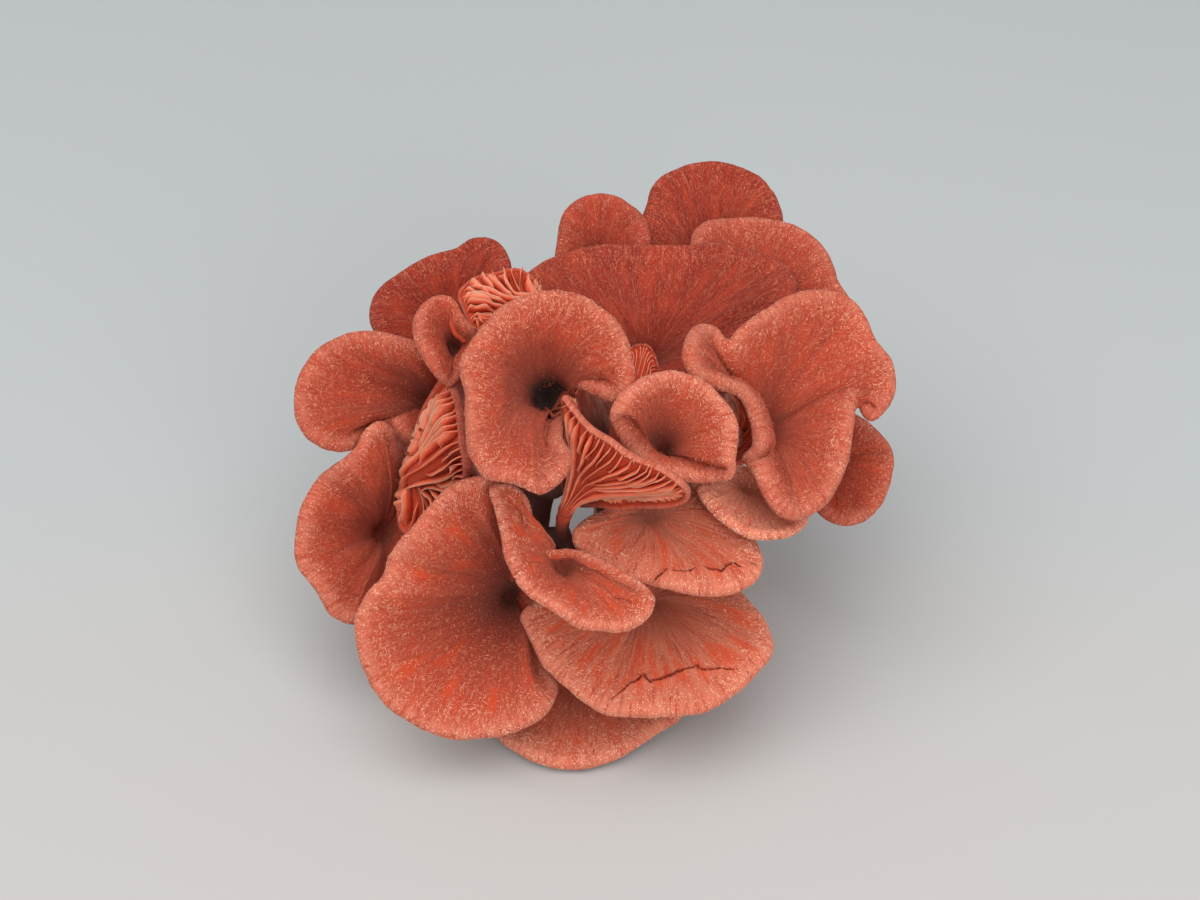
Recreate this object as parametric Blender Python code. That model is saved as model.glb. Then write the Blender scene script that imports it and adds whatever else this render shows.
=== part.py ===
"""A picked cluster of pink oyster mushrooms, cut off flat at its foot.

Each mushroom's cap is one closed solid: a funnel, ear or fan with a rolled
margin, gill ridges underneath and the start of its stem.  The stems grow
together into one clump, whose flat cut stands on the surface.

Lengths are in millimetres until a mesh is made.  The origin is the middle of
the flat cut, +X is to the right, +Y away and +Z up, as seen from in front.
"""

import math

import bmesh
import bpy
from mathutils import Vector

MM = 0.001
FULL_TURN = 2 * math.pi

# The caps are laid out as they are seen from in front and above.  A place is
# (x, y, toward): millimetres right and up in that view, and nearer to the eye.
VIEW_ELEVATION = math.radians(38.0)
VIEW_DISTANCE = 570.0
MIDDLE = Vector((0.0, 0.0, 55.0))
RIGHT = Vector((1.0, 0.0, 0.0))
UP = Vector((0.0, math.sin(VIEW_ELEVATION), math.cos(VIEW_ELEVATION)))
TOWARD = Vector((0.0, -math.cos(VIEW_ELEVATION), math.sin(VIEW_ELEVATION)))

# Rolled margin and flesh of a cap.  The lip shrinks where the crest comes near
# the throat or its own other side.
LIP_RADIUS = 2.0
LIP_TURN = math.radians(125.0)
THINNEST_LIP = 0.15
FULL_LIP_SPAN = 11.0
FULL_LIP_WIDTH = 9.0
MARGIN_THICKNESS = 1.2
CENTRE_THICKNESS = 2.6
WIDE_OPEN = 100.0
SAME_SIDE_SHARE = 0.1
OPPOSITE_COSINE = 0.6

# How a cap rises from its throat and flares towards its crest, as shares of
# the way between them.
THROAT_RADIUS = 1.6
THROAT_SHARE = 0.2
RISE_STEEPNESS = 0.75
RISE_SPREAD = 0.12
FLARE_SPAN_SHARE = 0.45
FLARE_WIDTH_SHARE = 0.38
SPOKE_EVENNESS = 0.65

# The neck that a cap keeps of its stem.
NECK_RADIUS = 4.2
NECK_WAIST = 0.9
NECK_LENGTH = 8.0
NECK_LEAN = 0.45
NECK_SINK = 0.6

# Gill ridges: how deep, how quickly they rise from the margin, and the height
# of one ridge over the columns that it covers.
GILL_DEPTH = 1.0
GILL_FADE = 4.0
GILL_SHAPE = (0.0, 0.5, 1.0, 0.5)
FULLEST_PINCH = 0.55

# The grid that a cap is drawn on: columns round it, then steps from the throat
# to the crest, round the lip, back inside it and along the underside.
COLUMNS = 64
CREST_STEPS = 12
TOP_STEPS = (0.12, 0.28, 0.46, 0.64, 0.82, 1.0)
LIP_STEPS = (0.25, 0.5, 0.75, 1.0)
INNER_LIP_STEPS = (0.95, 0.6)
UNDER_STEPS = (0.92, 0.8, 0.65, 0.5, 0.35, 0.22)
SLOPE_STEP = 0.03

# How finely a cap is skinned, and how many triangles are left in the end.
CAP_VOXEL = 0.5
CAP_FACES = 200
FACES_BY_SIZE = 0.011

# The stems and the mass at their foot.
STEM_FOOT_RADIUS = 5.2
STEM_TOP_SHARE = 0.92
STEM_TAPER = 1.4
STEM_SPLAY = 0.15
STEM_RISE = 0.42
STEM_ARRIVAL = 0.3
STEM_SIDES = 12
STEM_STEPS = 9
STEM_FRONT = Vector((0.3, 0.8, 0.5))
JOIN_GAP = 1.0
FOOT_HALF_WIDTH = 22.0
FOOT_HALF_DEPTH = 18.0
FOOT_BELOW_CUT = 4.0
FOOT_PROFILE = ((-4.0, 0.93), (3.0, 1.0), (9.0, 0.95), (14.0, 0.72), (17.0, 0.4))
FOOT_SIDES = 24
CLUMP_VOXEL = 1.3
CLUMP_FACES = 1500

# The egg-shaped core that the forks are parted from, and how near a fork comes
# to the neck of a cap that it bears.
CORE_MIDDLE = (0.0, 0.0, 8.0)
CORE_HALF = (26.0, 22.0, 36.0)
CORE_GAP = 0.05
NECK_NEAR = 6.5

CAP_COLOUR = (0.72, 0.20, 0.13)
STEM_COLOUR = (0.80, 0.42, 0.33)
FLESH_ROUGHNESS = 0.8


def seen(x, y, toward):
    """The point in space that is seen x right and y up, at that nearness."""
    shrink = 1.0 - toward / VIEW_DISTANCE
    return MIDDLE + RIGHT * (x * shrink) + UP * (y * shrink) + TOWARD * toward


def heading(x, y, toward):
    """A direction given in the same view."""
    return (RIGHT * x + UP * y + TOWARD * toward).normalized()


# One entry for each mushroom.
#   lie         nearness of the crest's plane at the throat, its slope to the
#               right and its slope up the view
#   throat      x, y and how far the throat lies behind that plane
#   axis        the way the hollow of the cap opens
#   crest       points round the outline: x, y and how far before the plane
#   foot        where the stem leaves the clump, x and y in the base's own plane
#   brim        how steeply the cap still climbs at its crest, in degrees
#   reach       how far the flare runs in from the crest
#   lip         radius of the rolled margin
#   gill_depth  how far the gill ridges stand out
#   stalk       the way the stem leaves the cap, in space; without it the stem
#               carries on down the axis
#   neck, lean  length of the cap's own neck, and how far it leans to the axis
#   neck_radius how thick the neck and the top of the stem are
#   faces       triangles beyond those that its size gives it
CAPS = {
    "cap_front_ear": {
        "lie": (45.0, -0.08, -0.42), "throat": (-13.0, 11.0, 26.0),
        "axis": (-0.12, 0.35, 1.0), "foot": (-20.0, -2.0),
        "brim": 8.0, "reach": 9.0,
        "crest": (
            (-34, 15, 0), (-35, 23, 0), (-30.5, 30, 0), (-24, 37, 0),
            (-17, 39.8, 0), (-9, 40.5, 0), (-2, 38, 0), (4.8, 31.5, 0),
            (8, 22, -2), (7.6, 16, -4), (3.6, 13, -6), (-2, 15, -9),
            (-7.2, 16.4, -14), (-9, 12, -19), (-10, 7, -13), (-9.4, 3, -4),
            (-7.8, -1.5, 0), (-9.8, -6, 1), (-15, -10, 2),
            (-22, -7.5, 2), (-28.5, -6.2, 2), (-32.5, -1.5, 1), (-34, 6, 0),
        ),
    },
    "cap_top_fan": {
        "lie": (12.0, 0.0, -0.95), "throat": (12.0, 21.0, 19.0),
        "axis": (0.0, 0.75, 0.9), "foot": (4.0, 5.0),
        "brim": 18.0, "reach": 12.0,
        "crest": (
            (-20, 43, 0), (-14, 48, 0), (-5, 51, 0), (6, 52.2, 0),
            (19, 51.8, 0), (31, 52, 0), (41, 49.5, 0), (47, 46, 0),
            (48.5, 40, -1), (42, 29, -5), (30, 19, -9), (17, 13, -11),
            (8, 14.5, -11), (1, 24, -7), (-12, 34, -3), (-19.5, 39, -1),
        ),
    },
    "cap_top_dome": {
        "lie": (-22.0, 0.0, -0.55), "throat": (27.0, 44.0, 9.0),
        "axis": (0.0, 0.45, 1.0), "foot": (5.0, 11.0),
        "brim": 14.0, "reach": 9.0,
        "crest": (
            (10.2, 54, 0), (11.5, 61, 0), (14.5, 67.5, 0), (20.5, 71.5, 0),
            (27.5, 72.8, 0), (34, 71.8, 0), (40.5, 68.5, 0), (44.8, 62, 0),
            (45.5, 54, 0), (40, 45, -2), (32, 40, -4), (22, 40, -4),
            (14, 46, -2),
        ),
    },
    "cap_small_dome": {
        "lie": (-20.0, 0.1, -0.5), "throat": (0.0, 46.0, 8.0),
        "axis": (-0.1, 0.5, 1.0), "foot": (3.0, 11.0),
        "brim": 14.0, "reach": 7.0,
        "crest": (
            (-10.8, 48, 0), (-10.3, 54, 0), (-9, 60, 0), (-4.5, 63.6, 0),
            (0.8, 64.8, 0), (6.5, 62.5, 0), (10.8, 58.5, 0), (12, 50, -1),
            (7, 43.5, -3), (0, 41.5, -4), (-7, 43.5, -2),
        ),
    },
    "cap_back_right": {
        "lie": (-12.0, -0.05, -0.62), "throat": (42.0, 36.0, 10.0),
        "axis": (0.1, 0.6, 1.0), "foot": (10.0, 9.0),
        "brim": 14.0, "reach": 10.0,
        "crest": (
            (23.3, 53, 0), (26.5, 57.5, 0), (32.5, 58.6, 0), (41, 58.6, 0),
            (48, 57.5, 0), (53, 54.2, 0), (57, 50, 0), (59.5, 44, 0),
            (63, 37, 0), (60, 29, -2), (52, 25, -4), (42, 27, -6),
            (33, 33, -5), (26, 43, -2),
        ),
    },
    "cap_right_funnel": {
        "lie": (26.3, -0.35, -0.40), "throat": (38.5, 4.0, 28.3),
        "axis": (0.3, 0.35, 1.0), "foot": (9.0, 0.0),
        "brim": 22.0, "reach": 8.0,
        "crest": (
            (32.8, 27.5, -4), (37, 31.5, -2), (41.8, 35, 0), (48.8, 39, 0),
            (56.3, 39.8, 0), (63.5, 38, 0), (67, 33, 0), (69.3, 27, 0),
            (73.3, 22, 1), (74, 15.5, 1), (71, 10.5, 2), (68.5, 9.3, 0),
            (66, 13.0, -2), (63.6, 10.5, 0), (62.8, 3, 1), (61.5, -4, 1),
            (57.5, -11, 2), (51, -15.8, 3), (46, -14.8, 3), (42.5, -9.5, 3),
            (39.5, -3.5, 2), (37.2, -1.5, -2), (40, 2.5, -4), (38.8, 9, -3),
            (36, 14.5, -1), (30, 17, 1), (24.5, 19.5, 2), (22.3, 25, 0),
            (24.5, 30.5, -3), (29, 30.8, -5),
        ),
    },
    "cap_right_back": {
        "lie": (-8.0, 0.0, -0.3), "throat": (55.0, -4.0, 6.0),
        "axis": (0.35, 0.25, 1.0), "foot": (14.0, 3.0),
        "brim": 10.0, "reach": 7.0,
        "crest": (
            (60, 9.5, 0), (65, 8.5, 0), (70, 5, 0), (74, -0.5, 0),
            (73.2, -8, 0), (69.5, -15.2, 0), (63.5, -18, 0), (57.5, -16.5, 0),
            (52, -10, -1), (51, -1, -2), (54.5, 6, -1),
        ),
    },
    "cap_small_funnel": {
        "lie": (44.0, -0.25, -0.35), "throat": (15.0, -1.0, 24.0),
        "axis": (-0.05, 0.3, 1.0), "foot": (4.0, -4.0),
        "brim": 22.0, "reach": 6.0,
        "crest": (
            (3.4, 9.5, -2), (5.5, 14, 0), (11, 18, 0), (17.5, 20, 0),
            (24, 18.3, 0), (29.5, 14, 0), (33, 9, 0), (33.8, 4, -1),
            (33.2, -1.5, -2), (32.5, -5.5, -5), (27, -6.5, -11), (20, -6.5, -14),
            (13, -4.5, -15), (8, 0, -13), (4.8, 5.5, -7),
        ),
    },
    "cap_centre_gills": {
        "lie": (26.0, 0.35, 0.35), "throat": (-4.5, -8.5, -2.0),
        "axis": (0.45, 0.55, -0.62), "foot": (0.0, -3.0),
        "stalk": (-0.25, 0.35, -0.9), "neck_radius": 2.0,
        "brim": 4.0, "reach": 5.0, "lip": 1.9, "gill_depth": 1.3,
        "faces": 600,
        "crest": (
            (-8.3, 14.5, 2), (-5.2, 11, 5), (-1.5, 6.8, 8), (4, 3.5, 10),
            (9.5, -0.2, 11), (16, -3, 12), (21.5, -7, 11), (23.3, -10.2, 7),
            (20, -12.5, 3), (11, -13, -3), (2, -13, -7), (-5, -12, -9),
            (-8.6, -7, -9), (-7.8, 1, -7), (-7.6, 9, -2),
        ),
    },
    "cap_between": {
        "lie": (17.5, 0.1, 0.1), "throat": (8.5, 15.5, -3.0),
        "axis": (0.2, 0.4, -0.9), "foot": (3.0, 1.0),
        "stalk": (-0.1, -0.12, -1.0), "neck": 7.0, "lean": 1.6,
        "brim": 4.0, "reach": 4.0, "lip": 1.0,
        "crest": (
            (5, 22, 0), (8.5, 26, 0), (12, 26.3, 0), (14.2, 23, 0),
            (15.5, 18, 0), (15, 13, -1), (9, 11, -1), (4, 12, -1), (3, 16, 0),
        ),
    },
    "cap_small_strap": {
        "lie": (22.0, -0.25, -0.75), "throat": (37.0, -10.5, 12.0),
        "axis": (0.0, 0.7, 0.8), "foot": (8.0, -6.0),
        "brim": 26.0, "reach": 4.0, "lip": 1.6,
        "crest": (
            (20.8, -4.2, 0), (23.5, -3.2, 0), (25.5, -9.5, 1),
            (29, -14.5, 1), (34, -18, 1), (39.5, -20.2, 1), (46, -20, 1),
            (50.3, -17.8, 0), (51, -14.5, -1), (47, -8, -6),
            (40, -4.5, -9), (32, -3, -7), (25, -2.2, -3),
        ),
    },
    "cap_middle_fan": {
        "lie": (18.0, 0.05, -0.62), "throat": (13.0, -17.0, 4.5),
        "axis": (0.0, 0.75, 0.85), "foot": (3.0, -8.0),
        "stalk": (0.0, 0.75, -0.65),
        "brim": -22.0, "reach": 8.0,
        "crest": (
            (0, -14.5, 0), (-4.5, -17, 1), (-7.5, -20.2, 2), (-6.5, -23.8, 1),
            (-1, -27.3, 0), (6, -31.5, 0), (14, -33.8, 0), (25, -36.2, 0),
            (33, -35.3, 0), (39.3, -32.5, 0), (41.7, -28, 0), (39.5, -22, 0),
            (34.5, -14, -1), (26, -9.5, -2), (16, -9.5, -2), (7, -11, -2),
        ),
    },
    "cap_lower_fan": {
        "lie": (9.0, 0.05, -0.66), "throat": (12.0, -38.0, 5.5),
        "axis": (0.0, 0.75, 0.85), "foot": (6.0, -12.0),
        "stalk": (-0.2, 0.8, -0.55),
        "brim": -20.0, "reach": 10.0,
        "crest": (
            (-17, -37.5, 0), (-20.5, -41, 0), (-18.8, -46, 0),
            (-15, -52.5, 0), (-10, -58, 0), (-4.5, -62.5, 0),
            (3, -65.8, 0), (13, -66.4, 0), (23, -65.8, 0), (31, -63, 0),
            (37, -58.5, 0), (43.2, -51, 0), (43.3, -45, 0), (38, -37.5, 0),
            (32, -31.5, -1), (22, -30, -2), (12, -29.5, -3), (2, -30.5, -3),
            (-9, -34, -1),
        ),
    },
    "cap_front_curl": {
        "lie": (40.0, 0.05, -0.25), "throat": (-9.5, -30.0, 19.0),
        "axis": (0.25, 0.5, 0.9), "foot": (-5.0, -8.0),
        "stalk": (0.2, 0.9, -0.45),
        "brim": 0.0, "reach": 5.0, "lip": 1.7,
        "crest": (
            (-27, -8.5, 0), (-26.3, -13, 0), (-24.8, -19, 0),
            (-23.5, -25, 0), (-21, -31, 0), (-17, -35.8, 0),
            (-11, -39.5, 0), (-5, -43.5, 0), (2, -44.7, 0), (9, -43.8, 0),
            (13.5, -40, 0), (13.5, -35, -1), (7, -30, -4), (-1, -26, -7),
            (-8, -24.5, -9), (-12.5, -24.5, -8), (-15.3, -21.5, -5),
            (-16.2, -17, -3), (-18, -11.5, -1), (-22, -8, -1),
        ),
    },
    "cap_left_funnel": {
        "lie": (27.0, -0.05, 0.12), "throat": (-27.0, -38.0, 30.0),
        "axis": (0.25, 0.15, 1.0), "foot": (-10.0, -9.0),
        "brim": 8.0, "reach": 11.0,
        "crest": (
            (-28.5, -6.6, -1), (-36, -8.2, 0), (-41.5, -13.5, 1),
            (-47.5, -20, 1), (-52, -26, 0), (-54, -31.5, 0),
            (-58.5, -36.5, 0), (-60.5, -44, 0), (-59, -53, 0),
            (-53.5, -63, 0), (-45.5, -68.5, 0), (-36, -72, 0),
            (-27, -71.5, 0), (-18, -69, 0), (-11.5, -63.5, -3),
            (-11, -57.5, -10), (-14.5, -50, -18), (-16, -42, -25),
            (-15, -33, -27), (-15.5, -24, -21), (-18, -16, -13),
            (-22.5, -10.5, -5),
        ),
    },
    "cap_bottom": {
        "lie": (-1.0, 0.0, -0.70), "throat": (-4.0, -56.0, 3.0),
        "axis": (0.0, 0.8, 0.8), "foot": (-2.0, -14.0),
        "stalk": (0.0, 0.97, -0.2),
        "brim": -12.0, "reach": 7.0,
        "crest": (
            (-25.5, -71.5, 0), (-21.5, -74.5, 0), (-16, -77.5, 0),
            (-9, -79, 0), (-1, -78, 0), (7, -75, 0), (14, -70.5, 0),
            (20, -66.5, 0), (23, -61, 0), (18, -54, -2), (8, -48, -4),
            (-4, -46, -5), (-16, -50, -3), (-24, -58, -1), (-27.5, -66, 0),
        ),
    },
    "cap_left_lower": {
        "lie": (7.0, 0.10, -0.10), "throat": (-55.0, -21.0, 22.0),
        "axis": (0.45, 0.2, 0.9), "foot": (-14.0, -4.0),
        "stalk": (0.6, 0.4, -0.7),
        "brim": 10.0, "reach": 8.0,
        "crest": (
            (-50.4, 2, -2), (-51, 5, 2), (-54, 7.4, 5), (-57.4, 5.4, 6),
            (-60.5, 0.5, 6), (-66, -3.8, 3),
            (-70.5, -8, 0), (-73.8, -14.8, 0), (-75, -23, 0),
            (-74.2, -29, 0), (-70, -34.5, 0), (-66, -40.5, 0),
            (-60.5, -43, 0), (-54, -40, -7), (-48, -34, -15),
            (-44, -25, -19), (-43.5, -14, -19), (-46, -4, -13),
        ),
    },
    "cap_left_upper": {
        "lie": (13.6, 0.10, -0.35), "throat": (-43.5, 11.5, 18.0),
        "axis": (0.25, 0.3, 0.95), "foot": (-17.0, 4.0),
        "brim": 12.0, "reach": 8.0,
        "crest": (
            (-44.5, 26.5, -3), (-50.5, 29, -1), (-60, 30, 0), (-67, 27.5, 0),
            (-72.3, 23, 0), (-75.3, 17, 0), (-75.5, 10, 0),
            (-73, 4.5, 0), (-67.5, 1.3, -3), (-62.5, 0.9, -6),
            (-59.2, 3, -9), (-56.5, 6.8, -11), (-52, 7, -12), (-47.5, 2.5, -14),
            (-42.5, 0, -18), (-38, 6, -19), (-37, 13, -18), (-39, 21, -11),
        ),
    },
    "cap_top_left": {
        "lie": (-2.0, 0.05, -0.55), "throat": (-36.0, 30.0, 12.0),
        "axis": (0.1, 0.55, 1.0), "foot": (-15.0, 8.0),
        "brim": 14.0, "reach": 7.0,
        "crest": (
            (-56.3, 32, 0), (-56.8, 36, 0), (-55, 41, 0), (-50, 45.2, 0),
            (-43, 49, 0), (-36, 51, 0), (-32, 53.3, 1), (-27, 53.3, 1),
            (-24, 51, 0), (-22, 46, -1), (-21.5, 40, -3), (-25, 32, -6),
            (-33, 26, -8), (-43, 24, -6), (-52, 27, -2),
        ),
    },
    "cap_small_ear": {
        "lie": (22.0, -0.10, -0.35), "throat": (-36.5, 25.0, 9.0),
        "axis": (0.3, 0.4, 0.9), "foot": (-16.0, 3.0),
        "stalk": (0.5, 0.3, -0.8),
        "brim": 10.0, "reach": 4.5, "lip": 1.8,
        "crest": (
            (-45.8, 33, 0), (-44.3, 36.5, 0), (-40.3, 39, 0),
            (-36.5, 38, 0), (-33.5, 33.5, 0), (-31, 30, -1),
            (-31.5, 26, -4), (-34, 21.5, -5), (-36.5, 17, -4),
            (-40.5, 19, -2), (-44, 25, -1), (-45.8, 29, 0),
        ),
    },
    "cap_ruffled_gills": {
        "lie": (11.0, 0.0, 0.0), "throat": (-18.5, 34.5, -4.5),
        "axis": (-0.2, -0.5, -0.83), "foot": (5.0, 4.0),
        "stalk": (0.5, -0.15, -0.85), "neck": 6.0,
        "brim": 6.0, "reach": 4.0, "lip": 0.9, "gill_depth": 1.4,
        "faces": 600,
        "crest": (
            (-35.5, 38.5, 0), (-34, 33.5, 4), (-30.5, 29.5, 6),
            (-25.5, 31.5, 6), (-18, 28, 3), (-13, 33, -1), (-15, 40, -4),
            (-20.5, 44.5, -5), (-27, 43.5, -5), (-32, 42, -3),
        ),
    },
    "cap_left_gills": {
        "lie": (9.0, 0.0, 0.0), "throat": (-46.0, -5.5, -1.0),
        "axis": (0.88, -0.05, -0.47), "foot": (-16.0, -2.0),
        "stalk": (0.5, 0.45, -0.75), "neck_radius": 3.8,
        "brim": 4.0, "reach": 6.0, "lip": 2.0, "gill_depth": 1.4,
        "faces": 600,
        "crest": (
            (-36, 18, 4), (-33.6, 12, 13), (-32.2, 3, 18),
            (-31, -5, 15), (-32, -11.5, 9), (-36, -18.5, 4), (-42, -23, -2),
            (-47.5, -19, -6), (-47.5, -7, -9), (-45, 0, -8),
            (-43, 8, -4), (-39.5, 14.5, 0),
        ),
    },
}


def crest_loop(cap):
    """Evenly spaced points on a smooth closed curve through the crest."""
    near, slope_x, slope_y = cap["lie"]
    throat_x, throat_y = cap["throat"][:2]
    marks = []
    for x, y, before in cap["crest"]:
        toward = near + slope_x * (x - throat_x) + slope_y * (y - throat_y)
        marks.append(seen(x, y, toward + before))
    fine = []
    count = len(marks)
    for index in range(count):
        a = marks[index - 1]
        b = marks[index]
        c = marks[(index + 1) % count]
        d = marks[(index + 2) % count]
        for step in range(CREST_STEPS):
            t = step / CREST_STEPS
            point = 2 * b + (c - a) * t + (2 * a - 5 * b + 4 * c - d) * t**2
            point += (3 * b - a - 3 * c + d) * t**3
            fine.append(point * 0.5)
    lengths = [0.0]
    for index, point in enumerate(fine):
        following = fine[(index + 1) % len(fine)]
        lengths.append(lengths[-1] + (following - point).length)
    loop = []
    place = 0
    for column in range(COLUMNS):
        wanted = lengths[-1] * column / COLUMNS
        while lengths[place + 1] < wanted:
            place += 1
        share = (wanted - lengths[place]) / (lengths[place + 1] - lengths[place])
        following = fine[(place + 1) % len(fine)]
        loop.append(fine[place].lerp(following, share))
    return loop


def throat_point(cap):
    x, y, behind = cap["throat"]
    return seen(x, y, cap["lie"][0] - behind)


def across_axis(vector, axis):
    """The part of a vector that lies square to the axis."""
    return vector - axis * vector.dot(axis)


def spoke_directions(loop, throat, axis):
    """Directions round the throat that turn steadily as the crest goes round."""
    side = across_axis(loop[0] - throat, axis).normalized()
    front = axis.cross(side)
    angles = []
    previous = 0.0
    for point in loop:
        flat = across_axis(point - throat, axis)
        angle = math.atan2(flat.dot(front), flat.dot(side))
        angle += round((previous - angle) / FULL_TURN) * FULL_TURN
        angles.append(angle)
        previous = angle
    sense = 1.0 if angles[-1] > 0 else -1.0
    steady = [sense * FULL_TURN * column / COLUMNS for column in range(COLUMNS)]
    drift = sum(a - s for a, s in zip(angles, steady)) / COLUMNS
    spokes = []
    for angle, even in zip(angles, steady):
        mixed = (1.0 - SPOKE_EVENNESS) * angle + SPOKE_EVENNESS * (even + drift)
        spokes.append(side * math.cos(mixed) + front * math.sin(mixed))
    return spokes, sense


def lobe_width(loop, column, outward):
    """How far the crest's other side lies straight in from this column."""
    width = WIDE_OPEN
    for other in range(COLUMNS):
        apart = abs(other - column)
        if min(apart, COLUMNS - apart) < COLUMNS * SAME_SIDE_SHARE:
            continue
        across = loop[other] - loop[column]
        if -across.dot(outward) > OPPOSITE_COSINE * across.length:
            width = min(width, across.length)
    return width


def profile(cap, loop, column, spoke, sense, throat, axis):
    """Corner points of one column's curve from the throat to the crest."""
    rim = loop[column]
    along = loop[(column + 1) % COLUMNS] - loop[column - 1]
    outward = across_axis(along.cross(axis) * sense, axis).normalized()
    width = lobe_width(loop, column, outward)
    brim = math.radians(cap["brim"])
    arrive = outward * math.cos(brim) + axis * math.sin(brim)
    upward = axis * math.cos(brim) - outward * math.sin(brim)
    span = (rim - throat).length
    fit = min(1.0, span / FULL_LIP_SPAN, width / FULL_LIP_WIDTH)
    lip = cap.get("lip", LIP_RADIUS) * fit
    end = rim - arrive * lip
    start = throat + spoke * min(THROAT_RADIUS, THROAT_SHARE * span)
    climb = max(0.0, (end - start).dot(axis))
    rise = start + axis * climb * RISE_STEEPNESS + spoke * RISE_SPREAD * span
    flare = end - arrive * min(cap["reach"], FLARE_SPAN_SHARE * span, FLARE_WIDTH_SHARE * width)
    return start, rise, flare, end, arrive, upward, lip, fit


def curve_point(start, rise, flare, end, t):
    s = 1.0 - t
    return start * s**3 + rise * (3 * s * s * t) + flare * (3 * s * t * t) + end * t**3


def cap_rings(cap):
    """Rings of points from the throat, over the crest and down to the neck."""
    loop = crest_loop(cap)
    throat = throat_point(cap)
    axis = heading(*cap["axis"])
    spokes, sense = spoke_directions(loop, throat, axis)
    corners = []
    for column in range(COLUMNS):
        corners.append(profile(cap, loop, column, spokes[column], sense, throat, axis))
    rings = []
    for t in TOP_STEPS:
        rings.append([curve_point(*corner[:4], t) for corner in corners])
    for turn in LIP_STEPS:
        rings.append([lip_point(corner, LIP_TURN * turn, 0.0) for corner in corners])
    for turn in INNER_LIP_STEPS:
        rings.append([lip_point(corner, LIP_TURN * turn, MARGIN_THICKNESS) for corner in corners])
    for t in UNDER_STEPS:
        rings.append(under_ring(cap, corners, t, sense))
    rings += neck_rings(cap, throat, axis, spokes, corners)
    return rings, sense


def lip_point(corner, turn, inside):
    """A point on the rolled margin, outside it or inside the flesh."""
    end, arrive, upward, lip, fit = corner[3:]
    radius = max(lip - inside * fit, THINNEST_LIP)
    centre = end - upward * lip
    return centre + upward * radius * math.cos(turn) + arrive * radius * math.sin(turn)


def under_ring(cap, corners, t, sense):
    """The gilled side: the top pushed in by the flesh, ridged at each gill."""
    middle = [curve_point(*corner[:4], t) for corner in corners]
    inner = [curve_point(*corner[:4], t - SLOPE_STEP) for corner in corners]
    outer = [curve_point(*corner[:4], min(t + SLOPE_STEP, 1.0)) for corner in corners]
    normals = []
    for column in range(COLUMNS):
        round_way = middle[(column + 1) % COLUMNS] - middle[column - 1]
        out_way = outer[column] - inner[column]
        normals.append(out_way.cross(round_way).normalized() * sense)
    flesh = MARGIN_THICKNESS + (CENTRE_THICKNESS - MARGIN_THICKNESS) * (1.0 - t)
    gill_depth = cap.get("gill_depth", GILL_DEPTH)
    rooms = pinched_rooms(middle, normals, flesh + gill_depth)
    ring = []
    for column in range(COLUMNS):
        room = min(rooms[column - 1], rooms[column], rooms[(column + 1) % COLUMNS])
        gap = (middle[(column + 1) % COLUMNS] - middle[column - 1]).length
        ridge = min(gill_depth, gap) * min(1.0, GILL_FADE * (1.0 - t))
        ridge *= GILL_SHAPE[column % len(GILL_SHAPE)]
        depth = (flesh + ridge) * corners[column][7] * room
        ring.append(middle[column] - normals[column] * depth)
    return ring


def pinched_rooms(ring, normals, depth):
    """How much of the wanted depth fits under each column of a ring."""
    rooms = []
    for column in range(COLUMNS):
        following = (column + 1) % COLUMNS
        along = ring[following] - ring[column - 1]
        turn = normals[following] - normals[column - 1]
        squeeze = depth * turn.dot(along) / along.length_squared
        rooms.append(min(1.0, FULLEST_PINCH / max(squeeze, 0.01)))
    return rooms


def stalk_direction(cap, axis):
    """The way the stem leaves the cap, straight down its axis or sideways."""
    if "stalk" in cap:
        return Vector(cap["stalk"]).normalized()
    return -axis


def neck_end(cap):
    """Where the cap's own neck stops and the clump's stem takes over."""
    axis = heading(*cap["axis"])
    stalk = stalk_direction(cap, axis)
    way = (stalk - axis * cap.get("lean", NECK_LEAN)).normalized()
    return throat_point(cap) + way * cap.get("neck", NECK_LENGTH)


def neck_rings(cap, throat, axis, spokes, corners):
    """The neck: a ring under the throat, turned part way, and its end."""
    stalk = stalk_direction(cap, axis)
    end = neck_end(cap)
    bend_middle = (-axis).rotation_difference((stalk - axis).normalized())
    bend_end = (-axis).rotation_difference(stalk)
    middle = throat.lerp(end, 0.5) - axis * NECK_SINK
    radius = cap.get("neck_radius", NECK_RADIUS)
    upper = []
    lower = []
    for spoke, corner in zip(spokes, corners):
        span = (corner[3] - throat).length
        room = min(radius * NECK_WAIST, max(THROAT_RADIUS, span * 0.5))
        upper.append(middle + (bend_middle @ spoke) * room)
        lower.append(end + (bend_end @ spoke) * radius)
    return [upper, lower]


def closed_mesh(name, rings, flip):
    """A closed skin over rings of equal length, shut by a point at each end."""
    mesh = bpy.data.meshes.new(name)
    shape = bmesh.new()
    rows = []
    for ring in rings:
        rows.append([shape.verts.new(point * MM) for point in ring])
    columns = len(rings[0])
    first = shape.verts.new(sum(rings[0], Vector()) / columns * MM)
    last = shape.verts.new(sum(rings[-1], Vector()) / columns * MM)
    for column in range(columns):
        following = (column + 1) % columns
        shape.faces.new((first, rows[0][column], rows[0][following]))
        shape.faces.new((last, rows[-1][following], rows[-1][column]))
        for upper, lower in zip(rows, rows[1:]):
            shape.faces.new((upper[column], lower[column], lower[following], upper[following]))
    if flip:
        bmesh.ops.reverse_faces(shape, faces=shape.faces)
    bmesh.ops.triangulate(shape, faces=shape.faces)
    shape.to_mesh(mesh)
    shape.free()
    return mesh


def add_object(name, mesh, material):
    thing = bpy.data.objects.new(name, mesh)
    bpy.context.scene.collection.objects.link(thing)
    thing.data.materials.append(material)
    thing.data.shade_smooth()
    return thing


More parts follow.
